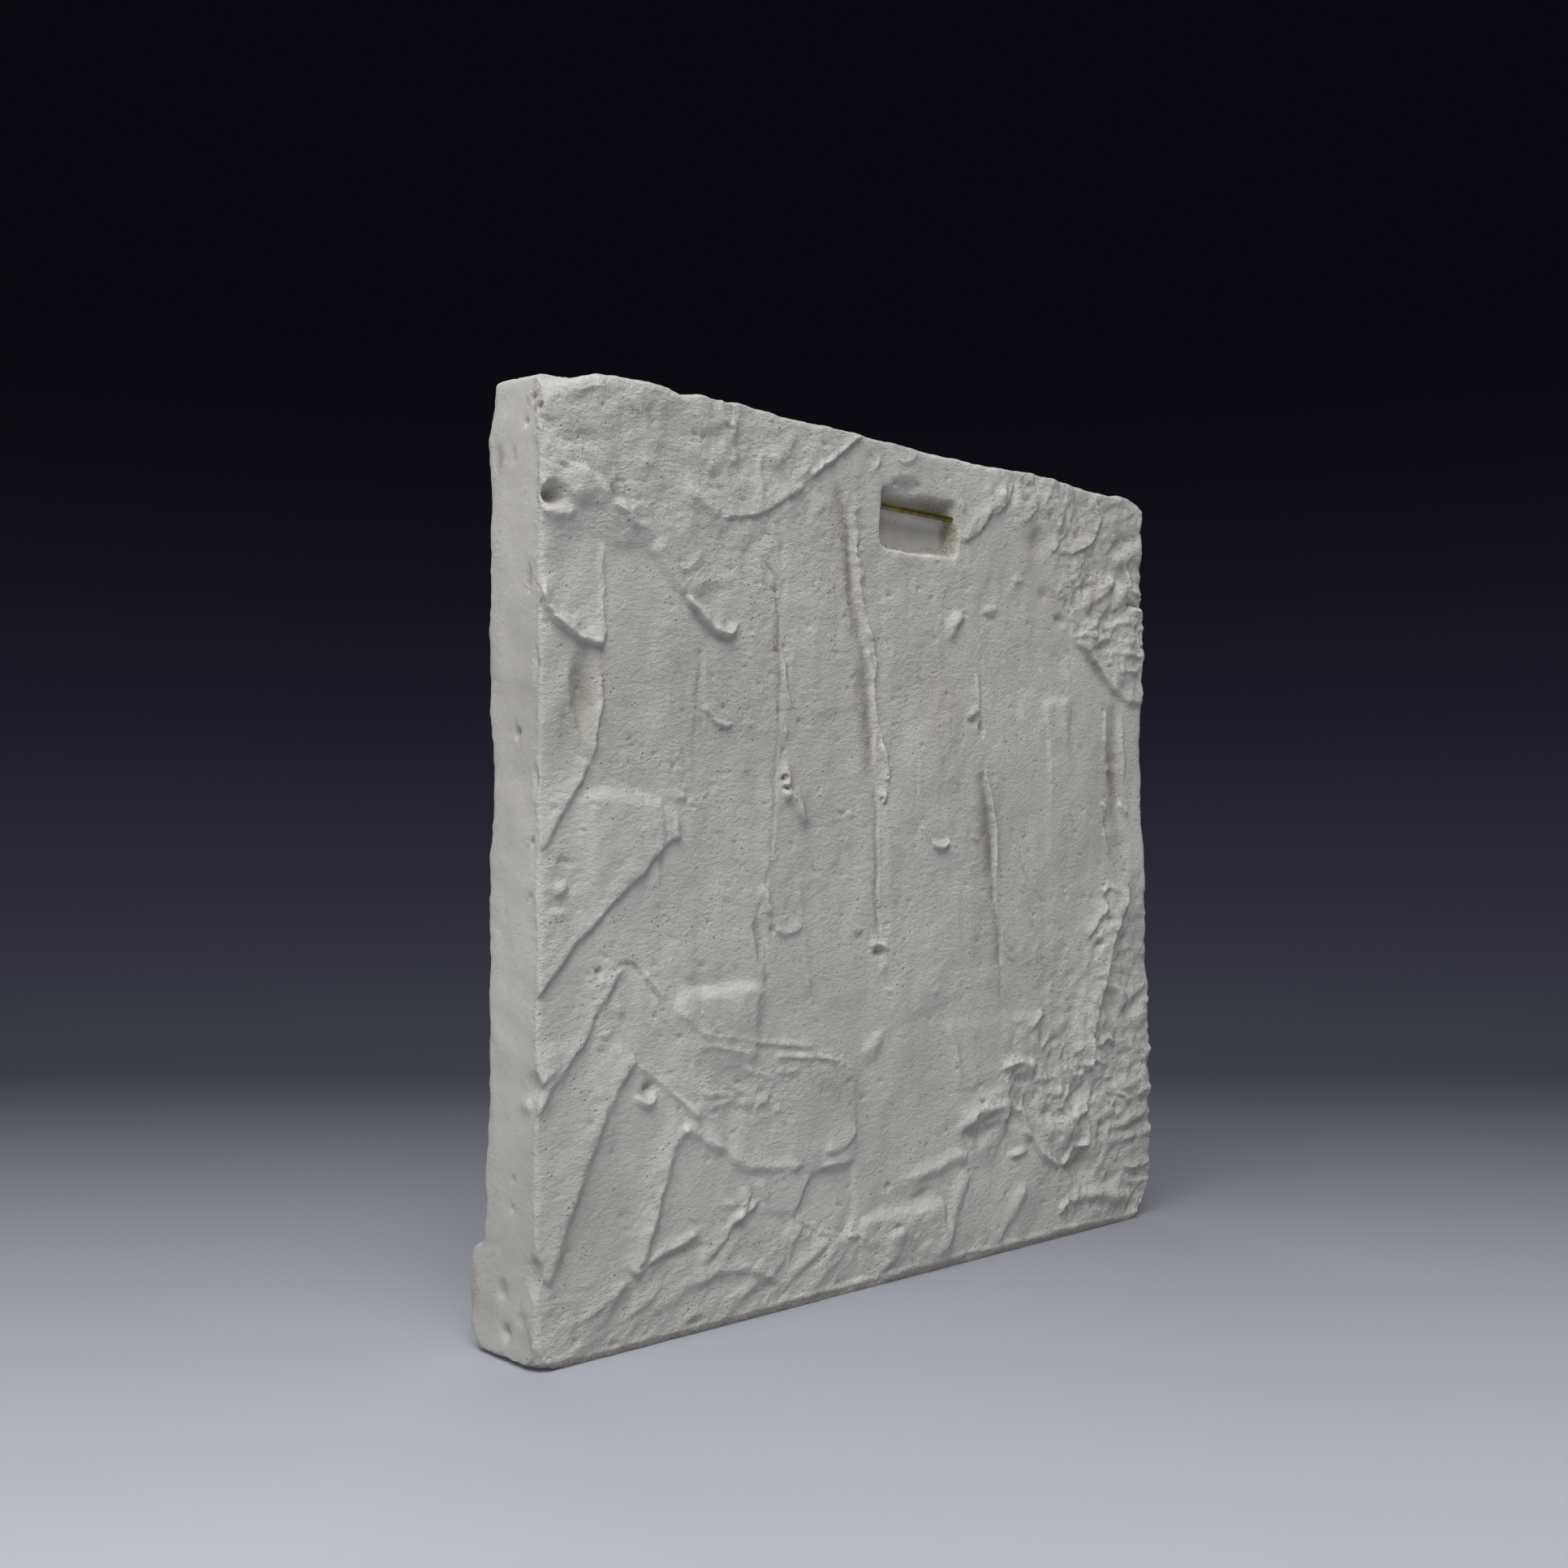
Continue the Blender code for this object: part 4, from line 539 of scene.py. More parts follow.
TOP_EDGE = (
    (-14, -8.0), (-8, -7.6), (-3, -6.4), (6, -6.0), (15, -6.0), (21, -3.8), (28, -1.8), (36, -0.6),
    (50, 0.4), (66, 0.2), (72, -1.0), (76, -1.7), (81, -0.8), (86, 0.0), (104, -0.6), (108, 0.3),
    (140, -0.6), (180, -1.0), (194, -0.2), (204, -1.2), (240, -1.2), (276, -0.9), (290, -0.9), (325, 0.7),
    (350, 0.2), (375, -1.0), (398, -1.8), (407, -0.2), (418, -0.8), (446, -4.0),
)
NEAR_EDGE = (
    (-5, 1.0), (30, 1.6), (60, 2.0), (120, 1.4), (160, 1.9), (245, 1.2), (330, 1.3), (400, 1.5),
    (425, -0.5), (446, -4.0),
)
FAR_EDGE = (
    (-5, -2.0), (20, 5.0), (45, 7.0), (80, 6.0), (110, 5.2), (150, 4.0), (200, 2.8), (222, 1.0),
    (240, 0.0), (300, -1.0), (306, 0.6), (318, 0.2), (350, 1.0), (360, 0.4), (365, -1.2), (370, 0.6),
    (400, 0.5), (420, 2.0), (446, 1.0),
)
FRONT_SWAY = (
    (-10, 0.0), (46, 2.0), (57, 2.7), (80, 2.2), (120, 1.0), (150, 0.3), (180, 0.8), (212, 1.9),
    (230, 0.0), (243, -1.9), (258, -0.4), (275, 1.2), (300, 3.0), (340, 3.0), (400, 3.4), (420, 2.6),
    (446, 1.5),
)
RECESS_SIDES = (205.5, 265.5)
RECESS_FOOT = (374.0,)
LEDGE_PROFILE = (
    (-12, 5.5), (0, 6.0), (3, 8.2), (8, 10.8), (16, 13.2), (25, 14.3), (36, 14.0), (42, 12.8),
    (45.5, 9.5), (48, 4.0), (50, 0.5), (52, 0.0),
)


@dataclass(frozen=True)
class Chip:
    """A corner or an edge that has broken away: a point of the break and the way that it faces.

    `depth` is in from the back, and `facing` is across, up and in from the back.
    """

    across: float
    up: float
    depth: float
    facing: tuple[float, float, float]
    rough: float = 0.6


CHIPS = (
    Chip(424, 427, 19, (0.50, 0.866, 0.0), 0.7),
    Chip(433, 413, 19, (0.96, 0.28, 0.0), 0.6),
    Chip(5, 416.0, 0, (-0.25, 0.60, -0.76), 1.1),
    Chip(-3, 409, 1, (-0.82, 0.25, -0.51), 0.8),
    Chip(14, 1.5, 20, (-0.16, -0.987, 0.0), 0.5),
    Chip(-2, 14.0, 0, (-0.60, -0.48, -0.64), 1.2),
    Chip(-1, 6.0, 4, (-0.45, -0.80, -0.40), 0.8),
    Chip(430, 16.0, 20, (0.81, -0.58, 0.0), 0.8),
    Chip(436, 20.0, 10, (0.93, -0.37, 0.0), 0.8),
    Chip(200, 5.0, -0.3, (0.0, -0.40, -0.917), 0.35),
    Chip(200, 1.0, 1.0, (0.0, -0.93, -0.37), 0.2),
    Chip(0, 0, 52.0, (-0.55, 0.0, 0.835), 0.6),
    Chip(0, 427.5, 39.5, (0.0, 0.66, 0.75), 0.6),
)

SIDE_DENTS = (
    Dome(-2.2, 17.0, 270.0, 3.4, 4.2, dirt_and_shade=0.7), Dome(-1.6, 8.6, 336.0, 1.8, 9.0, dirt_and_shade=0.8),
    Dome(-1.6, 5.7, 223.7, 2.6, 2.4, dirt_and_shade=0.7), Dome(-1.4, 17.2, 80.0, 1.5, 1.5, dirt_and_shade=0.7),
    Dome(-1.2, 17.7, 67.7, 2.2, 2.0, dirt_and_shade=0.5), Dome(-2.0, 2.0, 120.5, 8.0, 8.0, dirt_and_shade=0.3),
    Dome(1.4, 8.0, 112.0, 6.0, 5.0), Dome(-3.4, 1.0, 42.0, 8.0, 12.0, dirt_and_shade=0.5),
    Dome(-2.6, 23.0, 14.0, 4.6, 5.0, 30, dirt_and_shade=0.8), Dome(-1.4, 11.0, 22.0, 5.0, 5.0, dirt_and_shade=0.4),
    Dome(-2.6, 8.0, 414.0, 2.6, 2.4, dirt_and_shade=0.7), Dome(-2.2, 3.0, 409.0, 2.4, 2.0, dirt_and_shade=0.7),
    Dome(-2.0, 12.0, 404.0, 2.0, 2.4, dirt_and_shade=0.6), Dome(-1.8, 0.0, 402.0, 2.6, 3.2, dirt_and_shade=0.6),
    Dome(-1.0, 33.0, 391.0, 4.0, 10.0, dirt_and_shade=0.3), Dome(-0.8, 20.0, 390.0, 2.4, 6.0, dirt_and_shade=0.4),
    Dome(-1.2, 6.0, 200.0, 2.6, 3.0, dirt_and_shade=0.3), Dome(-0.8, 25.0, 192.0, 1.4, 2.4, dirt_and_shade=0.4),
    Dome(-1.0, 3.0, 250.0, 3.0, 8.0), Dome(-1.0, 3.0, 300.0, 2.6, 12.0),
    Dome(-1.0, 26.0, 32.0, 6.0, 6.0, dirt_and_shade=0.5),
)
SIDE_STAINS = (
    Dome(0.9, 33, 391, 4.5, 12), Dome(0.6, 20, 391, 2.5, 7), Dome(0.7, 17, 269, 4, 5),
    Dome(0.8, 9, 336, 2, 9), Dome(0.8, 6, 223, 3, 3), Dome(0.8, 30, 71, 3.5, 2.5),
    Dome(0.8, 24, 31, 8, 7), Dome(1.0, 48, 24, 5, 24), Dome(0.6, 8, 16, 9, 9), Dome(0.6, 7, 411, 8, 7),
    Dome(0.5, 2, 45, 7, 12), Dome(0.5, 34, 138, 2.5, 5),
)


def smooth_fall(share: np.ndarray) -> np.ndarray:
    """Falls from 1 to 0 with no corner at either end.

    Args:
        share: how far along the fall each place is, where below 0 counts as 0 and above 1 as 1.

    Returns:
        The height at each place, from 0 to 1.
    """
    share = np.clip(share, 0.0, 1.0)
    return 1.0 - share * share * (3.0 - 2.0 * share)


def wandering(across: np.ndarray, up: np.ndarray, size: float, seed: int, size_up: float = 0.0) -> np.ndarray:
    """Smooth random height that changes over `size`.

    Args:
        across: the first coordinate of each place.
        up: the second coordinate of each place.
        size: how far apart the random knots are along the first coordinate.
        seed: which pattern.
        size_up: the same along the second, or 0 where it is the same size and the pattern may turn.

    Returns:
        A height for each place, from about -1 to 1.
    """
    turn = 0.0 if size_up else 0.9 * seed
    x = (across * math.cos(turn) + up * math.sin(turn)) / size
    y = (up * math.cos(turn) - across * math.sin(turn)) / (size_up or size)
    x = x - math.floor(float(x.min()))
    y = y - math.floor(float(y.min()))
    column, row = np.floor(x).astype(int), np.floor(y).astype(int)
    knots = int(column.max()) + 2, int(row.max()) + 2
    lean = np.random.default_rng(seed).uniform(0.0, 2.0 * math.pi, knots)
    lean_x, lean_y = np.cos(lean), np.sin(lean)
    fx, fy = x - column, y - row
    right, high = 1.0 - smooth_fall(fx), 1.0 - smooth_fall(fy)
    rows = []
    for step in (0, 1):
        near = lean_x[column, row + step] * fx + lean_y[column, row + step] * (fy - step)
        far = lean_x[column + 1, row + step] * (fx - 1.0) + lean_y[column + 1, row + step] * (fy - step)
        rows.append(near * (1.0 - right) + far * right)
    return 1.6 * (rows[0] * (1.0 - high) + rows[1] * high)


def curve_through(points: Points, steps: int = 6) -> np.ndarray:
    """A smooth line through a few points.

    Args:
        points: the places that the line goes through.
        steps: how many short pieces there are between each two of them.

    Returns:
        The places along the Catmull-Rom curve, one to a row.
    """
    knots = np.asarray(points, float)
    padded = np.vstack((2 * knots[0] - knots[1], knots, 2 * knots[-1] - knots[-2]))
    places = []
    for first in range(len(knots) - 1):
        a, b, c, d = padded[first:first + 4]
        for t in np.arange(steps) / steps:
            places.append(0.5 * (2 * b + (c - a) * t + (2 * a - 5 * b + 4 * c - d) * t ** 2
                                 + (3 * b - a - 3 * c + d) * t ** 3))
    places.append(knots[-1])
    return np.array(places)


@dataclass
class ReliefChart:
    """A face of the slab, read at evenly spaced places, with the marks that are worked into it.

    `height` is what the marks leave, and `dirt_and_shade` how much darker they colour it, as soiling and
    painted shade. `covered` is 1 in the recess, and `torn` is how torn it is.
    """

    step: float = 0.5
    low: float = -12.0
    high: float = 444.0
    wobble: float = 1.0
    unevenness: float = 0.34
    seed: int = 100
    across: np.ndarray = field(init=False)
    up: np.ndarray = field(init=False)
    hand_across: np.ndarray = field(init=False)
    hand_up: np.ndarray = field(init=False)
    height: np.ndarray = field(init=False)
    dirt_and_shade: np.ndarray = field(init=False)
    covered: np.ndarray = field(init=False)
    torn: np.ndarray = field(init=False)

    def __post_init__(self) -> None:
        """Lays out the chart, with the hand's wobble that every line on it shares."""
        places = np.arange(self.low, self.high, self.step)
        self.across, self.up = np.meshgrid(places, places, indexing="ij")
        self.height = np.zeros(self.across.shape)
        self.dirt_and_shade = np.zeros(self.across.shape)
        self.covered = np.zeros(self.across.shape)
        self.torn = np.zeros(self.across.shape)
        a, u, s = self.across, self.up, self.seed
        self.hand_across = a + self.wobble * (wandering(a, u, 13.0, s) + 0.5 * wandering(a, u, 4.0, s + 1))
        self.hand_up = u + self.wobble * (wandering(a, u, 13.0, s + 2) + 0.5 * wandering(a, u, 4.0, s + 3))

    def window(self, low: np.ndarray, high: np.ndarray) -> Window:
        """The part of the chart between two corners.

        Args:
            low: the corner nearest the foot and the near side.
            high: the opposite corner.

        Returns:
            The slices of the chart's arrays that hold it.
        """
        last = self.across.shape[0]
        first = [int(np.clip((value - self.low) / self.step, 0, last)) for value in low]
        after = [int(np.clip((value - self.low) / self.step + 2, 0, last)) for value in high]
        return slice(first[0], after[0]), slice(first[1], after[1])

    def nearest(self, line: np.ndarray, reach: float) -> tuple[Window, np.ndarray, np.ndarray, np.ndarray]:
        """Finds how near each place is to a line.

        Args:
            line: the places along it, one to a row.
            reach: how far from the line matters.

        Returns:
            The part of the chart that it reaches, and there the distance, negative on its left, how far along
            the line the nearest place is, from 0 to 1, and whether it is in reach at all.
        """
        room = reach + 2.0 * self.wobble
        around = self.window(line.min(axis=0) - room, line.max(axis=0) + room)
        across, up = self.hand_across[around], self.hand_up[around]
        best = np.full(across.shape, np.inf)
        side = np.ones(across.shape)
        share = np.zeros(across.shape)
        start_row, start_column = around[0].start, around[1].start
        for index in range(len(line) - 1):
            start, end = line[index], line[index + 1]
            run = end - start
            local = self.window(np.minimum(start, end) - room, np.maximum(start, end) + room)
            part = (slice(local[0].start - start_row, local[0].stop - start_row),
                    slice(local[1].start - start_column, local[1].stop - start_column))
            dx, dy = across[part] - start[0], up[part] - start[1]
            along = np.clip((dx * run[0] + dy * run[1]) / max(float(run @ run), 1e-9), 0.0, 1.0)
            away = np.hypot(dx - along * run[0], dy - along * run[1])
            nearer = away < best[part]
            best[part] = np.where(nearer, away, best[part])
            side[part] = np.where(nearer, np.where(run[0] * dy - run[1] * dx > 0, -1.0, 1.0), side[part])
            share[part] = np.where(nearer, (index + along) / (len(line) - 1), share[part])
        return around, best * side, share, best < reach

    def crest(self, mark: Crest, seed: int) -> None:
        """Adds a crest, with the small changes of height that a knife leaves along it.

        Args:
            mark: the crest.
            seed: which pattern of small changes.
        """
        line = curve_through(mark.points)
        around, away, share, _ = self.nearest(line, 1.5 * max(mark.left, mark.right))
        across, up = self.across[around], self.up[around]
        ends = 1.0 - smooth_fall(np.minimum(share, 1 - share) / mark.ends)
        change = self.unevenness * (0.4 if mark.fall is Fall.SOFT else 1.0)
        stretch = (1.0 + change * wandering(across, up, 7.0, seed + 7000)) / (0.35 + 0.65 * ends)
        fall = np.abs(away) * stretch / np.where(away < 0, mark.left, mark.right)
        if mark.fall is Fall.SOFT:
            body = smooth_fall(fall)
        else:
            on_long_side = (away < 0) == (mark.left > mark.right)
            long_fall = (1.0 - np.clip(fall, 0, 1)) ** mark.fall.value
            body = np.where(on_long_side, long_fall, smooth_fall(fall))
        changes = wandering(across, up, 9.0, seed) + 0.6 * wandering(across, up, 3.4, seed + 8000)
        uneven = 1.0 + change * changes
        torn = 1.0 - 2.0 * np.abs(wandering(across, up, 2.8, seed + 9000))
        edge = 0.0 if mark.fall is Fall.SOFT else smooth_fall(np.abs(away + 0.4) / 2.6) * change * torn
        along = mark.height * (0.15 + 0.85 * ends) * ends ** 0.5
        self.height[around] += along * (body * uneven + 0.4 * body * edge)
        # Painted shade with soiling: the colour is darkened along a groove, or beside a crest on its steep
        # side.
        if mark.dirt_and_shade:
            if mark.height < 0:
                spread, centre = 0.3 * (mark.left + mark.right) + 0.6, 0.35 * (mark.right - mark.left)
            else:
                spread = min(mark.left, mark.right) + 0.6
                centre = (0.5 if mark.right < mark.left else -0.5) * spread
            line_of_dirt_and_shade = smooth_fall(np.abs(away - centre) / spread) * ends
            self.dirt_and_shade[around] = np.maximum(self.dirt_and_shade[around], mark.dirt_and_shade * line_of_dirt_and_shade)

    def dome(self, mark: Dome) -> None:
        """Adds a lump or takes away a hollow.

        Args:
            mark: the lump or hollow.
        """
        reach = max(mark.half_across, mark.half_up) + 2.0
        middle = np.array((mark.across, mark.up))
        around = self.window(middle - reach, middle + reach)
        body = dome_share(self.hand_across[around], self.hand_up[around], mark)
        self.height[around] += mark.height * body
        self.dirt_and_shade[around] = np.maximum(self.dirt_and_shade[around], mark.dirt_and_shade * body)

    def cover(self, points: Points, edge: float) -> np.ndarray:
        """How far each place is inside an outline.

        Args:
            points: the corners of the outline.
            edge: how wide its edge is.

        Returns:
            0 outside, 1 inside, and between the two across the edge.
        """
        corners = np.asarray(points, float)
        loop = np.vstack((corners, corners[:1]))
        line = np.vstack([start + (end - start) * np.arange(0, 1, 0.2)[:, None]
                          for start, end in zip(loop[:-1], loop[1:])] + [corners[:1]])
        inside = np.zeros(self.across.shape, bool)
        for (x0, y0), (x1, y1) in zip(loop[:-1], loop[1:]):
            if y0 != y1:
                crosses = (y0 > self.hand_up) != (y1 > self.hand_up)
                inside ^= crosses & (self.hand_across < x0 + (self.hand_up - y0) * (x1 - x0) / (y1 - y0))
        around, away, _, near = self.nearest(line, edge)
        share = inside.astype(float)
        signed = np.where(inside[around], 1.0, -1.0) * np.abs(away)
        share[around] = np.where(near, smooth_fall(0.5 - 0.5 * signed / edge), share[around])
        return share

    def coat(self, mark: Coat) -> None:
        """Adds a layer over an area.

        Args:
            mark: the layer.
        """
        self.height += mark.height * self.cover(mark.points, mark.edge)

    def rough(self, mark: Rough, seed: int) -> None:
        """Adds torn plaster over an area: rounded lumps with sharp creases between them.

        Args:
            mark: the height and size of the lumps, and the area.
            seed: which pattern.
        """
        size, slant = mark.size, math.radians(mark.slant)
        across = (self.hand_across * math.cos(slant) + self.hand_up * math.sin(slant)) / mark.stretch
        up = self.hand_up * math.cos(slant) - self.hand_across * math.sin(slant)
        sway = 0.6 * size * wandering(across, up, size * 1.3, seed)
        lift = 0.6 * size * wandering(across, up, size * 1.3, seed + 500)
        swell = wandering(across + sway, up - lift, size, seed + 1)
        torn = np.clip(0.55 + 1.2 * wandering(across + lift, up, size * 1.2, seed + 2), 0.0, 1.3)
        creases = np.abs(wandering(across - sway, up + lift, size * 0.8, seed + 3))
        folds = np.clip(1.0 - 2.6 * creases, 0.0, 1.0)
        grit = wandering(across, up, 2.1, seed + 501) + 0.7 * wandering(across, up, 3.6, seed + 502)
        cover = self.cover(mark.points, mark.edge)
        self.torn = np.maximum(self.torn, cover * min(1.0, mark.height))
        lumps = mark.height * (0.8 * swell + 0.6 * torn * (folds ** 1.4 - 0.3))
        self.height += cover * (lumps + mark.grit * (0.4 + torn) * grit)

    def streaks(self, mark: Streaks, seed: int) -> None:
        """Adds the fine lines of a dragged knife.

        Args:
            mark: the height, width and slant of the lines, and the area.
            seed: which pattern.
        """
        slant = math.radians(mark.slant)
        along = self.hand_across * math.cos(slant) + self.hand_up * math.sin(slant)
        over = self.hand_up * math.cos(slant) - self.hand_across * math.sin(slant)
        lines = wandering(along, over, mark.width * mark.length, seed, mark.width)
        self.height += mark.height * self.cover(mark.points, mark.edge) * lines

    def specks(self, count: int, size: tuple[float, float], height: float, seed: int, dirt_and_shade: float = 0.0,
               wide: float = 1.0) -> None:
        """Scatters small pits or crumbs.

        Args:
            count: how many.
            size: the smallest and the largest radius.
            height: the height of the largest, negative for pits.
            seed: which scatter.
            dirt_and_shade: how much darker each one is coloured, as soiling and painted shade.
            wide: how much wider than high they are.
        """
        chance = np.random.default_rng(seed)
        for _ in range(count):
            radius = size[0] + (size[1] - size[0]) * chance.random() ** 2.5
            across, up = chance.uniform(2.0, CHART - 2.0, 2)
            turn = chance.uniform(-20.0, 20.0)
            self.dome(Dome(height * radius / size[1], across, up, radius * wide, radius, turn, dirt_and_shade))

    def softened(self, values: np.ndarray, radius: float) -> np.ndarray:
        """Blurs a chart of values.

        Args:
            values: the chart.
            radius: how far each value spreads.

        Returns:
            The blurred chart.
        """
        rows, columns = (np.fft.fftfreq(size, self.step) for size in values.shape)
        keep = np.exp(-2.0 * (math.pi * radius) ** 2 * (rows[:, None] ** 2 + columns[None, :] ** 2))
        return np.real(np.fft.ifft2(np.fft.fft2(values) * keep))

    def read(self, values: np.ndarray, across: np.ndarray, up: np.ndarray) -> np.ndarray:
        """Reads a chart of values at any places.

        Args:
            values: the chart.
            across: how far each place is from the near side.
            up: how far it is from the foot.

        Returns:
            The value at each place.
        """
        last = values.shape[0] - 1.001
        x = np.clip((across - self.low) / self.step, 0.0, last)
        y = np.clip((up - self.low) / self.step, 0.0, last)
        column, row = x.astype(int), y.astype(int)
        fx, fy = x - column, y - row
        low_row = values[column, row] * (1 - fx) + values[column + 1, row] * fx
        high_row = values[column, row + 1] * (1 - fx) + values[column + 1, row + 1] * fx
        return low_row * (1 - fy) + high_row * fy


def dome_share(across: np.ndarray, up: np.ndarray, mark: Dome) -> np.ndarray:
    """How much of a lump's height each place has.

    Args:
        across: the first coordinate of each place.
        up: the second coordinate of each place.
        mark: the lump.

    Returns:
        From 0 outside it to 1 at its middle.
    """
    turn = math.radians(mark.turn)
    dx, dy = across - mark.across, up - mark.up
    x = dx * math.cos(turn) + dy * math.sin(turn)
    y = dy * math.cos(turn) - dx * math.sin(turn)
    return smooth_fall(np.hypot(x / mark.half_across, y / mark.half_up))


def crowded(places: np.ndarray, spots: tuple[float, ...], width: float = 4.0,
            extra: float = 2.0) -> np.ndarray:
    """Draws evenly spaced lines together round a few spots, where a wall needs more of them.

    Args:
        places: where the lines are.
        spots: what they draw together round.
        width: how far that reaches.
        extra: how many lines there are at a spot for each one before, less one.

    Returns:
        Where the lines are then.
    """
    even = np.linspace(0.0, CHART, 2001)
    density = 1.0 + sum(extra * np.exp(-((even - spot) / width) ** 2) for spot in spots)
    total = np.cumsum(density)
    return np.interp(places, CHART * (total - total[0]) / (total[-1] - total[0]), even)


@dataclass
class Recess:
    """The hollow that was cut for the rod, in chart millimetres: its middle, size, depth and corners.

    `wall` is how far its lower and near walls take to fall, and `slope` its worn upper one.
    """

    across: float = 235.0
    up: float = 390.4
    width: float = 61.5
    height: float = 33.4
    depth: float = 9.2
    corner: float = 6.0
    wall: float = 1.0
    slope: float = 11.5

    def cut(self, chart: ReliefChart) -> None:
        """Takes the recess out of the back, with the worn scoop above it and painted shade darkening the
        colour of its walls.

        Args:
            chart: the back.
        """
        a, u = chart.across, chart.up
        x = a + 0.7 * wandering(a, u, 9.0, 301) + 0.3 * wandering(a, u, 3.0, 302) - self.across
        z = u + 0.7 * wandering(a, u, 9.0, 303) + 0.3 * wandering(a, u, 3.0, 304) - self.up
        out_x = np.abs(x) - self.width / 2 + self.corner
        out_z = np.abs(z) - self.height / 2 + self.corner
        outside = np.hypot(np.maximum(out_x, 0), np.maximum(out_z, 0)) - self.corner
        outside += np.minimum(np.maximum(out_x, out_z), 0)
        high = 1.0 - smooth_fall((z + self.height / 2 - self.slope) / self.slope)
        far = 1.0 - smooth_fall((x + 2.0) / 18.0)
        wall = self.wall + (self.slope - self.wall) * np.maximum(high, 0.4 * far)
        inside = smooth_fall((outside + wall) / wall)
        floor = -self.depth + 0.35 * wandering(a, u, 8.0, 305) + 0.15 * wandering(a, u, 2.5, 306)
        chart.height = chart.height * (1.0 - inside) + floor * inside
        for mark in (Dome(-3.4, 226, 407, 18, 8.5), Dome(-2.0, 214, 403, 9, 6), Dome(1.0, 268, 404, 4, 5)):
            chart.height += mark.height * dome_share(a, u, mark) * (1.0 - 0.9 * inside)
        # Painted shade: the recess walls are darkened in the colour, most on the far wall and least near the
        # worn top.
        grime_and_shade = 0.35 + 0.45 * far + 0.25 * (1.0 - high)
        from_wall = np.abs(outside + 0.5 * wall + 0.6) / (0.5 * wall + 1.6)
        chart.dirt_and_shade = np.maximum(chart.dirt_and_shade, grime_and_shade * smooth_fall(from_wall))
        chart.covered = inside


@dataclass
class KnifedBack:
    """The back of the slab, as it was left: coats dragged on with a knife, torn where the knife lifted.

    Nothing on it stands more than `ceiling` proud, and the lowest `shaded_foot` of it is coloured darker as
    painted shade under the foot.
    """

    chart: ReliefChart = field(default_factory=ReliefChart)
    recess: Recess = field(default_factory=Recess)
    ceiling: float = 6.0
    shaded_foot: float = 3.2
    seed: int = 200

    def work(self) -> ReliefChart:
        """Lays every mark on the chart.

        Returns:
            The chart, finished.
        """
        chart = self.chart
        a, u = chart.across, chart.up
        chart.height += 0.8 * wandering(a, u, 60.0, 11) + 0.85 * wandering(a, u, 26.0, 12, 40.0)
        chart.height += 0.36 * wandering(a, u, 9.0, 13, 14.0) + 0.10 * wandering(a, u, 5.0, 14)
        # Painted shade: the colour of the lowest few millimetres of the back, under the foot's bevel, is
        # darkened.
        above_foot = (u + 0.6 * wandering(a, u, 6.0, 15) - self.shaded_foot) / 1.4
        chart.dirt_and_shade = np.maximum(chart.dirt_and_shade, 0.62 * smooth_fall(above_foot))
        for mark in COATS:
            chart.coat(mark)
        number = self.seed
        for group in (TOP_MARKS, NEAR_MARKS, MIDDLE_MARKS, SEAM_MARKS, FAR_MARKS):
            for mark in group:
                chart.crest(mark, number)
                number += 1
        for mark in ROUGH_PATCHES:
            chart.rough(mark, number)
            number += 4
        for mark in STREAKED:
            chart.streaks(mark, number)
            number += 1
        for mark in LUMPS_AND_HOLLOWS:
            chart.dome(mark)
        chart.specks(1300, (0.55, 1.4), -1.1, 61, 0.45, 2.1)
        chart.specks(500, (1.2, 3.2), 0.5, 62, 0.0, 1.4)
        chart.height += 0.05 * wandering(a, u, 1.7, 71) + 0.06 * wandering(a, u, 3.0, 72)
        lowered = self.ceiling * np.tanh(chart.height / self.ceiling)
        chart.height = np.where(chart.height > 0, lowered, chart.height)
        self.recess.cut(chart)
        chart.height = chart.softened(chart.height, 0.32)
        log.info("knifed back: %d marks", number - self.seed + len(LUMPS_AND_HOLLOWS) + len(COATS))
        return chart


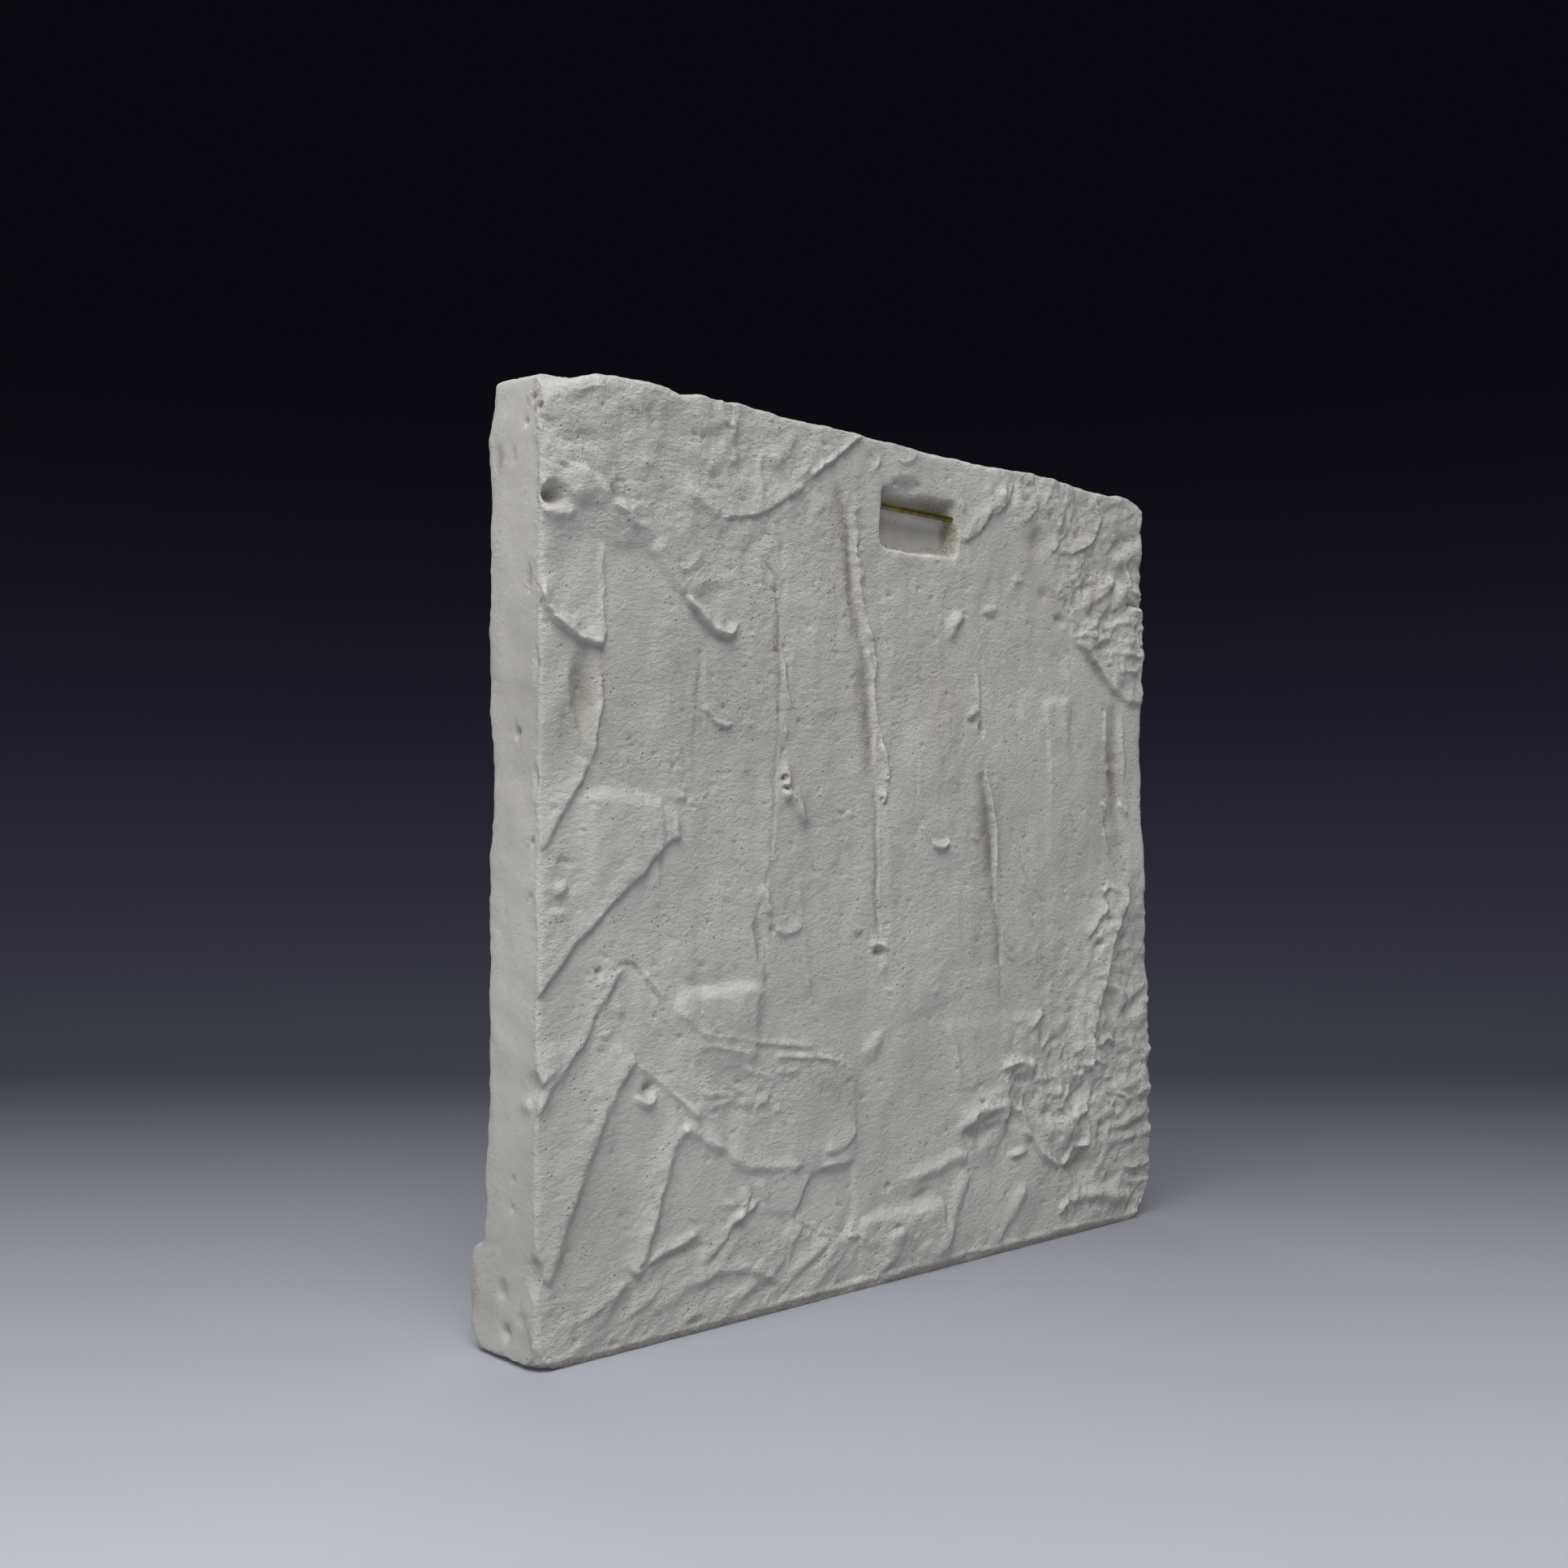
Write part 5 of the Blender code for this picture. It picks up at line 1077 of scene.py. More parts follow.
@dataclass
class CarvedFront:
    """The front of the slab: a palmette on a plain ground, over a ledge, in chart millimetres."""

    ledge_height: float = 46.0
    width: float = 270.0
    height: float = 310.0
    raise_by: float = 8.0
    lobes: int = 9
    leaf: float = 0.19
    chart: ReliefChart = field(default_factory=lambda: ReliefChart(wobble=0.25, unevenness=0.0, seed=120))

    def add_leaf(self, points: Points, half_width: float) -> None:
        """Lays one leaf with a rounded back and a groove down its middle over what is under it.

        Args:
            points: the leaf's middle line, from its root.
            half_width: half its width where it is widest.
        """
        chart = self.chart
        around, away, share, near = chart.nearest(curve_through(points, 12), half_width)
        spread = half_width * np.sin(np.pi * np.clip(share, 0.05, 0.97) ** 1.6) ** 0.7
        out = np.abs(away) / spread
        body = np.sqrt(np.clip(1.0 - out * out, 0.0, 1.0)) - 0.3 * smooth_fall(out / 0.35)
        height = self.raise_by * body * (0.55 + 0.45 * share)
        chart.height[around] = np.maximum(chart.height[around], np.where(near, height, 0.0))

    def add_scroll(self, side: float, foot: float, heart: float) -> None:
        """Lays one scroll below the leaves.

        Args:
            side: -1 for the near one and 1 for the far one.
            foot: how far up the palmette starts.
            heart: how far up its leaves meet.
        """
        chart, wide, centre = self.chart, self.width / 2, CHART / 2
        turns = np.linspace(0.0, 3.2 * np.pi, 18)
        radii = 0.31 * wide * (1.0 - turns / (4.0 * np.pi))
        eye_x, eye_z = centre + side * 0.50 * wide, foot + 0.31 * wide
        line = [(centre + side * 0.10 * wide, heart - 0.06 * self.height)]
        line += [(eye_x - side * r * np.cos(t), eye_z + r * np.sin(t)) for r, t in zip(radii, turns)]
        band = 0.056 * wide
        around, away, _, near = chart.nearest(curve_through(line), band)
        body = np.sqrt(np.clip(1.0 - (away / band) ** 2, 0.0, 1.0))
        raised = np.where(near, 0.8 * self.raise_by * body, 0.0)
        chart.height[around] = np.maximum(chart.height[around], raised)

    def work(self) -> ReliefChart:
        """Carves the front.

        Returns:
            The chart, finished.
        """
        chart, centre, wide, tall = self.chart, CHART / 2, self.width / 2, self.height
        foot = self.ledge_height + (CHART - self.ledge_height - tall) / 2
        heart = foot + 0.24 * tall
        for lobe in range(self.lobes):
            turn = 2.0 * lobe / (self.lobes - 1) - 1.0
            lean = math.radians(100.0) * turn
            tip = (centre + wide * (1.0 - 0.12 * abs(turn)) * math.sin(lean),
                   heart + 0.02 * tall + (0.74 - 0.12 * turn * turn) * tall * math.cos(0.86 * lean))
            start = (centre + 0.13 * wide * turn, heart)
            bow = (0.45 * start[0] + 0.55 * tip[0] - 0.13 * wide * turn,
                   0.4 * start[1] + 0.6 * tip[1] + 0.03 * tall)
            self.add_leaf((start, bow, tip), self.leaf * wide)
        for side in (-1.0, 1.0):
            self.add_scroll(side, foot, heart)
        a, u = chart.hand_across, chart.hand_up
        collar = np.hypot((a - centre) / (0.20 * wide), (u - heart) / (0.055 * tall))
        boss = self.raise_by * np.sqrt(np.clip(1.0 - collar * collar, 0.0, 1.0))
        chart.height = np.maximum(chart.height, boss)
        worn = 0.8 * wandering(a, u, 30.0, 21) + 0.3 * wandering(a, u, 6.0, 22)
        ledge = np.interp(u + worn, [row[0] for row in LEDGE_PROFILE], [row[1] for row in LEDGE_PROFILE])
        chart.height = np.maximum(chart.height, ledge)
        chart.height += 0.25 * wandering(a, u, 45.0, 23) + 0.10 * wandering(a, u, 14.0, 24)
        chart.specks(160, (0.7, 1.6), -0.7, 63, 0.4)
        chart.specks(14, (2.0, 4.0), -1.2, 64, 0.3)
        chart.height = chart.softened(chart.height, 0.45)
        log.info("carved front: %d leaves and 2 scrolls", self.lobes)
        return chart


@dataclass(frozen=True)
class PlasterFinish:
    """Cast plaster that has greyed, with yellow stains and pink patches, a darker colour for soiling and
    painted shade, and a lighter one for worn edges and painted highlight.
    """

    pale: tuple[float, float, float] = (0.606, 0.593, 0.557)
    grey: tuple[float, float, float] = (0.505, 0.493, 0.462)
    # Lighter colour of proud edges: worn edges and painted highlight.
    rubbed_and_highlight: tuple[float, float, float] = (0.745, 0.733, 0.702)
    # Darker colour of hollows, crests, the recess walls and the foot: soiling and painted shade.
    grime_and_shade: tuple[float, float, float] = (0.225, 0.205, 0.145)
    stain: tuple[float, float, float] = (0.31, 0.295, 0.215)
    pink: tuple[float, float, float] = (0.47, 0.41, 0.375)
    roughness: float = 0.88

    def material(self) -> bpy.types.Material:
        """Builds the material.

        Returns:
            The plaster, which reads the slab's own attributes: soiling with painted shade, stain, pink, edge
            wear with painted highlight, and grain.
        """
        nodes = NodeBench("cast_plaster")
        place = nodes.add("ShaderNodeTexCoord").outputs["Object"]
        cloud = nodes.noise(place, 9.0, 5.0, 0.6)
        mottle = nodes.noise(place, 85.0, 4.0, 0.6)
        grain = nodes.noise(place, 900.0, 3.0, 0.6)
        fine = nodes.noise(place, 2600.0, 2.0, 0.5)
        colour = nodes.blend(nodes.spread(cloud, 0.35, 0.65), self.pale, self.grey)
        colour = nodes.blend(nodes.spread(mottle, 0.48, 0.72, 0.35), colour, self.grey)
        colour = nodes.blend(nodes.scaled(nodes.reading("pink"), 0.55), colour, self.pink)
        stained = nodes.product(nodes.reading("stain"), nodes.spread(mottle, 0.30, 0.62), 0.85)
        colour = nodes.blend(stained, colour, self.stain)
        # Painted highlight with edge wear: proud places are lightened.
        colour = nodes.blend(nodes.scaled(nodes.reading("rub_and_highlight"), 0.65), colour, self.rubbed_and_highlight)
        # Painted shade with soiling: hollows, crests, recess walls and the foot are darkened.
        grime_and_shade_share = nodes.product(nodes.reading("grime_and_shade"), nodes.spread(grain, 0.25, 0.6), 0.95)
        colour = nodes.blend(grime_and_shade_share, colour, self.grime_and_shade)
        pits = nodes.pits(place, 330.0, 0.16)
        colour = nodes.blend(nodes.scaled(pits, 0.35), colour, self.grime_and_shade)
        shader = nodes.shader
        nodes.join(colour, shader.inputs["Base Color"])
        shader.inputs["Roughness"].default_value = self.roughness
        shader.inputs["Specular IOR Level"].default_value = 0.3
        drawn = nodes.add("ShaderNodeMapping")
        drawn.inputs["Scale"].default_value = (0.62, 1.0, 1.0)
        nodes.join(place, drawn.inputs["Vector"])
        grit = nodes.noise(drawn.outputs["Vector"], 480.0, 4.0, 0.7)
        height = nodes.sum(nodes.scaled(grain, 0.55), nodes.scaled(fine, 0.25))
        height = nodes.sum(height, nodes.scaled(grit, 2.3))
        height = nodes.sum(height, nodes.scaled(pits, -1.2))
        height = nodes.product(height, nodes.reading("grain"), 1.0)
        nodes.join(nodes.bump(height, 1.0, 0.00065), shader.inputs["Normal"])
        return nodes.material


@dataclass(frozen=True)
class BrassFinish:
    """Old brass rod: brown and olive tarnish, with yellow metal where rubbing has worn it."""

    tarnish: tuple[float, float, float] = (0.190, 0.155, 0.042)
    olive: tuple[float, float, float] = (0.29, 0.25, 0.065)
    metal: tuple[float, float, float] = (0.62, 0.50, 0.17)

    def material(self) -> bpy.types.Material:
        """Builds the material.

        Returns:
            The brass, with its draw lines along the rod.
        """
        nodes = NodeBench("tarnished_brass")
        place = nodes.add("ShaderNodeTexCoord").outputs["Object"]
        stretch = nodes.add("ShaderNodeMapping")
        stretch.inputs["Scale"].default_value = (0.12, 1.0, 1.0)
        nodes.join(place, stretch.inputs["Vector"])
        lines = nodes.noise(stretch.outputs["Vector"], 2200.0, 3.0, 0.6)
        blotch = nodes.noise(place, 160.0, 4.0, 0.6)
        colour = nodes.blend(nodes.spread(blotch, 0.40, 0.62), self.tarnish, self.olive)
        worn = nodes.product(nodes.spread(blotch, 0.52, 0.72), nodes.spread(lines, 0.4, 0.7), 0.7)
        colour = nodes.blend(worn, colour, self.metal)
        shader = nodes.shader
        nodes.join(colour, shader.inputs["Base Color"])
        shader.inputs["Metallic"].default_value = 0.85
        nodes.join(nodes.spread(blotch, 0.7, 0.3, 0.35, 0.32), shader.inputs["Roughness"])
        height = nodes.sum(nodes.scaled(lines, 0.5), nodes.scaled(blotch, 0.5))
        nodes.join(nodes.bump(height, 0.4, 0.00015), shader.inputs["Normal"])
        return nodes.material


class NodeBench:
    """A material under way, with short names for the few kinds of node that the finishes are made of."""

    def __init__(self, name: str) -> None:
        """Starts a material.

        Args:
            name: its name.
        """
        self.material = bpy.data.materials.new(name)
        self.material.use_nodes = True
        self.tree = self.material.node_tree
        self.shader = self.tree.nodes["Principled BSDF"]

    def add(self, kind: str) -> bpy.types.Node:
        """Adds a node of a kind and returns it."""
        return self.tree.nodes.new(kind)

    def join(self, value: object, socket: Socket) -> None:
        """Gives a socket its value.

        Args:
            value: another node's output, a colour or a number.
            socket: what it goes into.
        """
        if isinstance(value, Socket):
            self.tree.links.new(value, socket)
        elif isinstance(value, tuple):
            socket.default_value = (*value, 1.0)
        else:
            socket.default_value = value

    def noise(self, place: Socket, scale: float, detail: float, rough: float) -> Socket:
        """A cloudy pattern.

        Args:
            place: where it is read.
            scale: how many clouds to a metre.
            detail: how many finer layers it has.
            rough: how strong the finer layers are.

        Returns:
            Its value, from 0 to 1.
        """
        node = self.add("ShaderNodeTexNoise")
        self.join(place, node.inputs["Vector"])
        node.inputs["Scale"].default_value = scale
        node.inputs["Detail"].default_value = detail
        node.inputs["Roughness"].default_value = rough
        return node.outputs["Fac"]

    def pits(self, place: Socket, scale: float, size: float) -> Socket:
        """Pinholes left by bubbles.

        Args:
            place: where they are read.
            scale: how many to a metre.
            size: how large they are, as a share of their spacing.

        Returns:
            1 in a pinhole and 0 outside them.
        """
        cells = self.add("ShaderNodeTexVoronoi")
        self.join(place, cells.inputs["Vector"])
        cells.inputs["Scale"].default_value = scale
        few = self.spread(self.noise(place, scale * 0.32, 2.0, 0.5), 0.56, 0.62)
        return self.product(self.spread(cells.outputs["Distance"], size * 1.5, size * 0.5), few, 1.0)

    def reading(self, name: str) -> Socket:
        """Reads one of the piece's own attributes, by its name."""
        node = self.add("ShaderNodeAttribute")
        node.attribute_name = name
        return node.outputs["Fac"]

    def spread(self, value: Socket, low: float, high: float, most: float = 1.0, least: float = 0.0) -> Socket:
        """Stretches a part of a value's range over another one.

        Args:
            value: the value.
            low: what becomes `least`.
            high: what becomes `most`.
            most: the result at `high` and beyond.
            least: the result at `low` and below.

        Returns:
            The new value.
        """
        node = self.add("ShaderNodeMapRange")
        self.join(value, node.inputs["Value"])
        for socket, number in (("From Min", low), ("From Max", high), ("To Min", least), ("To Max", most)):
            node.inputs[socket].default_value = number
        return node.outputs["Result"]

    def maths(self, how: str, one: object, two: object) -> Socket:
        """Works on two values.

        Args:
            how: the name of the sum.
            one: the first value.
            two: the second value.

        Returns:
            The result.
        """
        node = self.add("ShaderNodeMath")
        node.operation = how
        self.join(one, node.inputs[0])
        self.join(two, node.inputs[1])
        return node.outputs["Value"]

    def scaled(self, value: Socket, by: float) -> Socket:
        """A value times a number."""
        return self.maths("MULTIPLY", value, by)

    def sum(self, one: Socket, two: Socket) -> Socket:
        """One value added to another."""
        return self.maths("ADD", one, two)

    def product(self, one: Socket, two: Socket, by: float) -> Socket:
        """Two values times each other and a number."""
        return self.scaled(self.maths("MULTIPLY", one, two), by)

    def blend(self, share: object, under: object, over: object) -> Socket:
        """Lays one colour over another.

        Args:
            share: how much of the upper one shows.
            under: the lower colour.
            over: the upper colour.

        Returns:
            The colour that results.
        """
        node = self.add("ShaderNodeMix")
        node.data_type = "RGBA"
        self.join(share, node.inputs["Factor"])
        self.join(under, node.inputs[6])
        self.join(over, node.inputs[7])
        return node.outputs[2]

    def bump(self, height: Socket, strength: float, distance: float) -> Socket:
        """Turns a height into a change of slope.

        Args:
            height: the height, from 0 to 1.
            strength: how much of the slope is used.
            distance: what a height of 1 is, in metres.

        Returns:
            The normal.
        """
        node = self.add("ShaderNodeBump")
        node.inputs["Strength"].default_value = strength
        node.inputs["Distance"].default_value = distance
        self.join(height, node.inputs["Height"])
        return node.outputs["Normal"]


@dataclass
class PlasterSlab:
    """The slab: one cast block, worked on both faces and worn at its edges. Sizes are in metres."""

    width: float = 0.430
    height: float = 0.430
    thickness: float = 0.038
    near_x: float = 0.2179
    back_y: float = 0.02325
    edge_round: float = 0.0019
    cells: int = 470
    rings: int = 30
    triangles: int = 192000
    foot_allowance: float = 0.0015
    finish: PlasterFinish = field(default_factory=PlasterFinish)
    back: KnifedBack = field(default_factory=KnifedBack)
    front: CarvedFront = field(default_factory=CarvedFront)

    def block(self) -> bmesh.types.BMesh:
        """A closed box with a fine grid on its two faces, in chart millimetres, its depth from 0 to 1.

        Returns:
            The box.
        """
        shape = bmesh.new()
        bmesh.ops.create_grid(shape, x_segments=self.cells, y_segments=self.cells, size=CHART / 2)
        bmesh.ops.translate(shape, verts=shape.verts, vec=(CHART / 2, CHART / 2, 0.0))
        faces = list(shape.faces)
        rim = [edge for edge in shape.edges if edge.is_boundary]
        for _ in range(self.rings):
            grown = bmesh.ops.extrude_edge_only(shape, edges=rim)["geom"]
            rim = [item for item in grown if isinstance(item, bmesh.types.BMEdge)]
            moved = [item for item in grown if isinstance(item, bmesh.types.BMVert)]
            bmesh.ops.translate(shape, verts=moved, vec=(0.0, 0.0, 1.0 / self.rings))
        rim_verts = {vert for edge in rim for vert in edge.verts}
        copied = bmesh.ops.duplicate(shape, geom=faces)["geom"]
        moved = [item for item in copied if isinstance(item, bmesh.types.BMVert)]
        bmesh.ops.translate(shape, verts=moved, vec=(0.0, 0.0, 1.0))
        outer = [vert for vert in moved if vert.is_boundary]
        bmesh.ops.remove_doubles(shape, verts=outer + list(rim_verts), dist=0.01)
        bmesh.ops.recalc_face_normals(shape, faces=shape.faces)
        return shape

    def worked(self, places: np.ndarray) -> np.ndarray:
        """Moves the block's places to the worked slab.

        Args:
            places: chart places, with the depth from 0 at the back to 1 at the front.

        Returns:
            The same places in the frame, in metres.
        """
        across = crowded(places[:, 0], RECESS_SIDES)
        up = crowded(places[:, 1], RECESS_FOOT)
        depth = places[:, 2]
        unit_x, unit_z = self.width / CHART, self.height / CHART
        size = np.array((self.width, self.thickness, self.height))
        spot = np.stack((across * unit_x, depth * self.thickness, up * unit_z), axis=1)
        worn = 1.05 * wandering(across + up, depth * 24.0, 21.0, 41)
        worn += 0.55 * wandering(across - up, depth * 24.0, 7.0, 42)
        rounding = self.edge_round * np.clip(1.25 + worn, 0.25, 3.0)[:, None]
        inner = np.clip(spot, rounding, size - rounding)
        out = spot - inner
        length = np.linalg.norm(out, axis=1, keepdims=True)
        spot = inner + np.where(length > 0, rounding * out / np.maximum(length, 1e-12), 0.0)
        share = spot[:, 1] / self.thickness
        back, front = self.back.chart, self.front.chart
        rise = back.read(back.height, across, up) * MILLIMETRE
        carving = front.read(front.height, across, up) * MILLIMETRE
        spot[:, 1] += carving * share - rise * (1.0 - share)
        self.sway_edges(spot, across, up, share)
        self.dent_near_side(spot, across)
        for chip in CHIPS:
            self.break_off(spot, chip, across, up)
        sink = self.foot_allowance * (1.0 - spot[:, 2] / self.height)
        return np.stack((self.near_x - spot[:, 0], self.back_y - spot[:, 1], spot[:, 2] - sink), axis=1)

    def sway_edges(self, spot: np.ndarray, across: np.ndarray, up: np.ndarray, share: np.ndarray) -> None:
        """Moves the slab's outline in and out, with its small nicks.

        Args:
            spot: the places, which are changed.
            across: how far each place is from the near side.
            up: how far it is from the foot.
            share: how far it is from the back to the front.
        """
        def offset(places: np.ndarray, table: Points, seed: int) -> np.ndarray:
            """An edge's offset at some places along it, from its table and its nicks."""
            deep = share * (self.thickness / MILLIMETRE)
            nicks = 0.45 * wandering(places, deep, 14.0, seed)
            nicks += 0.20 * wandering(places, deep, 3.0, seed + 1)
            return np.interp(places, [row[0] for row in table], [row[1] for row in table]) + nicks

        reach = 40.0
        top = offset(across, TOP_EDGE, 43) * smooth_fall((CHART - up) / reach)
        top *= 1.0 - 0.6 * share * smooth_fall(across / reach)
        near = offset(up, NEAR_EDGE, 45) * smooth_fall(across / reach) * 0.9
        far = offset(up, FAR_EDGE, 47) * smooth_fall((CHART - across) / reach)
        spot[:, 0] += (far - near) * self.width / CHART
        spot[:, 2] += top * self.height / CHART
        sway = np.interp(up, [row[0] for row in FRONT_SWAY], [row[1] for row in FRONT_SWAY])
        spot[:, 1] += sway * MILLIMETRE * share ** 2 * smooth_fall(across / 14.0)

    def dent_near_side(self, spot: np.ndarray, across: np.ndarray) -> None:
        """Presses the dents into the near side.

        Args:
            spot: the places, which are changed.
            across: how far each place is from the near side.
        """
        on_side = smooth_fall(across / 5.0)
        depth, up = spot[:, 1] / MILLIMETRE, spot[:, 2] / MILLIMETRE
        wobble_depth = depth + 0.8 * wandering(depth, up, 3.0, 81)
        wobble_up = up + 0.8 * wandering(depth, up, 3.0, 82)
        for mark in SIDE_DENTS:
            spot[:, 0] -= mark.height * MILLIMETRE * dome_share(wobble_depth, wobble_up, mark) * on_side
        spot[:, 0] += 0.12 * MILLIMETRE * wandering(depth, up, 9.0, 83, 40.0) * on_side

    def break_off(self, spot: np.ndarray, chip: Chip, across: np.ndarray, up: np.ndarray) -> None:
        """Presses what is beyond a break back to it.

        Args:
            spot: the places, which are changed.
            chip: the break.
            across: how far each place is from the near side.
            up: how far it is from the foot.
        """
        facing = np.array((chip.facing[0], chip.facing[2], chip.facing[1]))
        facing /= np.linalg.norm(facing)
        point = np.array((chip.across * self.width / CHART, chip.depth * MILLIMETRE,
                          chip.up * self.height / CHART))
        depth = spot[:, 1] / MILLIMETRE
        uneven = wandering(across + 0.4 * depth, up + depth, 8.0, 51)
        uneven += 0.5 * wandering(across + up, depth, 2.6, 52)
        beyond = (spot - point) @ facing + chip.rough * MILLIMETRE * uneven
        spot -= np.clip(beyond, 0.0, None)[:, None] * facing

    def build(self) -> bpy.types.Object:
        """Works the slab, thins it and cuts its foot flat.

        Returns:
            The finished object.
        """
        self.back.work()
        self.front.work()
        shape = self.block()
        mesh = bpy.data.meshes.new("worked_plaster")
        shape.to_mesh(mesh)
        shape.free()
        places = np.empty(len(mesh.vertices) * 3)
        mesh.vertices.foreach_get("co", places)
        mesh.vertices.foreach_set("co", self.worked(places.reshape(-1, 3)).ravel())
        mesh.update()
        rough_cast = bpy.data.objects.new("rough_cast", mesh)
        bpy.context.scene.collection.objects.link(rough_cast)
        thin = rough_cast.modifiers.new("thinned", "DECIMATE")
        thin.ratio = min(1.0, self.triangles / (2 * len(mesh.polygons)))
        bpy.context.view_layer.update()
        seen = rough_cast.evaluated_get(bpy.context.evaluated_depsgraph_get())
        shape = bmesh.new()
        shape.from_mesh(seen.to_mesh())
        bpy.data.objects.remove(rough_cast)
        bpy.data.meshes.remove(mesh)
        self.flatten_foot(shape)
        item = placed("worked_plaster_slab", shape)
        self.dress(item)
        return item

    def flatten_foot(self, shape: bmesh.types.BMesh) -> None:
        """Cuts off what is below the floor and closes the cut.

        Args:
            shape: the slab.
        """
        everything = list(shape.verts) + list(shape.edges) + list(shape.faces)
        cut = bmesh.ops.bisect_plane(shape, geom=everything, dist=1e-7, plane_co=(0, 0, 0),
                                     plane_no=(0, 0, -1), clear_outer=True)["geom_cut"]
        rim = [item for item in cut if isinstance(item, bmesh.types.BMEdge)]
        bmesh.ops.holes_fill(shape, edges=rim)
        bmesh.ops.triangulate(shape, faces=[face for face in shape.faces if len(face.verts) > 4])
        bmesh.ops.recalc_face_normals(shape, faces=shape.faces)

    def dress(self, item: bpy.types.Object) -> None:
        """Gives the slab its material and the attributes that it reads.

        Args:
            item: the slab.
        """
        mesh = item.data
        count = len(mesh.vertices)
        places = np.empty(count * 3)
        mesh.vertices.foreach_get("co", places)
        places = places.reshape(-1, 3)
        normals = np.empty(count * 3)
        mesh.vertices.foreach_get("normal", normals)
        normals = normals.reshape(-1, 3)
        across = (self.near_x - places[:, 0]) * CHART / self.width
        up = places[:, 2] * CHART / self.height
        depth = (self.back_y - places[:, 1]) / MILLIMETRE
        in_recess = self.back.chart.read(self.back.chart.covered, across, up)
        facing_back = np.maximum(np.clip(normals[:, 1] * 2.4, 0.0, 1.0), in_recess)
        on_back = smooth_fall((depth - 10.0) / 6.0) * facing_back
        on_front = smooth_fall((self.thickness / MILLIMETRE - 6.0 - depth) / 6.0)
        on_near = smooth_fall((across - 1.5) / 4.0) * np.clip(normals[:, 0] * 2.0, 0.0, 1.0)
        back, front = self.back.chart, self.front.chart
        values = {name: np.zeros(count) for name in ("grime_and_shade", "rub_and_highlight", "stain", "pink")}
        values["grain"] = 0.12 + on_back * (0.50 + 0.38 * back.read(back.torn, across, up)) + 0.15 * on_front
        for chart, where in ((back, on_back), (front, on_front)):
            # Painted shade: where the surface lies below its blurred self, in hollows and creases outside the
            # recess, the colour is darkened.
            hollow = np.clip((chart.softened(chart.height, 1.6) - chart.height - 0.12) / 0.9, 0.0, 1.0)
            # Painted highlight with edge wear: where the surface stands above its blurred self, on edges and
            # crest tops, the colour is lightened.
            proud = np.clip((chart.height - chart.softened(chart.height, 1.2) - 0.10) / 0.7, 0.0, 1.0)
            hollow *= 1.0 - chart.covered
            proud *= 1.0 - chart.covered
            shade_in_hollows = 0.50 * chart.read(hollow, across, up)
            values["grime_and_shade"] += where * np.maximum(shade_in_hollows, chart.read(chart.dirt_and_shade, across, up))
            values["rub_and_highlight"] += where * chart.read(proud, across, up)
        for mark in STAINS:
            values["stain"] += mark.height * on_back * dome_share(across, up, mark)
        for mark in PINK_PATCHES:
            values["pink"] += mark.height * on_back * dome_share(across, up, mark)
        # Dents on the near side are coloured darker, as soiling and painted shade.
        for mark in SIDE_DENTS:
            values["grime_and_shade"] += 0.6 * mark.dirt_and_shade * on_near * dome_share(depth, up, mark)
        for mark in SIDE_STAINS:
            values["stain"] += mark.height * on_near * dome_share(depth, up, mark)
        for name, value in values.items():
            layer = mesh.attributes.new(name, "FLOAT", "POINT")
            layer.data.foreach_set("value", np.clip(value, 0.0, 1.0).astype(np.float32))
        mesh.materials.append(self.finish.material())
        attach(item, "root")
        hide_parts("plaster_slab")
        log.info("plaster slab: %d faces", len(mesh.polygons))


@dataclass
class HangingRod:
    """The brass rod across the recess. Sizes are in metres."""

    sides: int = 40
    end_bevel: float = 0.0004
    finish: BrassFinish = field(default_factory=BrassFinish)

    def build(self) -> bpy.types.Object:
        """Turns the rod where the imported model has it.

        Returns:
            The finished object.
        """
        low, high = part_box("hanging_rod")
        radius = (high.z - low.z) / 2
        shape = bmesh.new()
        bmesh.ops.create_cone(shape, cap_ends=True, segments=self.sides, radius1=radius, radius2=radius,
                              depth=high.x - low.x)
        ends = [edge for edge in shape.edges if abs(edge.verts[0].co.z - edge.verts[1].co.z) < 1e-6]
        bmesh.ops.bevel(shape, geom=ends, offset=self.end_bevel, offset_type="OFFSET", affect="EDGES",
                        segments=2, profile=0.5, material=-1)
        sides = [edge for edge in shape.edges if abs(edge.verts[0].co.z - edge.verts[1].co.z) > radius]
        bmesh.ops.subdivide_edges(shape, edges=sides, cuts=40, use_grid_fill=False)
        level = Matrix.Rotation(math.pi / 2, 3, "Y")
        bmesh.ops.rotate(shape, verts=shape.verts, cent=(0, 0, 0), matrix=level)
        bmesh.ops.translate(shape, verts=shape.verts, vec=(low + high) / 2)
        item = placed("brass_rod", shape)
        item.data.materials.append(self.finish.material())
        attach(item, "root")
        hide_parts("hanging_rod")
        log.info("hanging rod: %.1f mm across", 2 * radius / MILLIMETRE)
        return item


def placed(name: str, shape: bmesh.types.BMesh) -> bpy.types.Object:
    """Turns a shape into a smooth-shaded object at the origin.

    Args:
        name: the object's name.
        shape: its shape, which is used up.

    Returns:
        The object.
    """
    mesh = bpy.data.meshes.new(name)
    shape.to_mesh(mesh)
    shape.free()
    mesh.shade_smooth()
    mesh.set_sharp_from_angle(angle=math.radians(70.0))
    item = bpy.data.objects.new(name, mesh)
    bpy.context.scene.collection.objects.link(item)
    return item


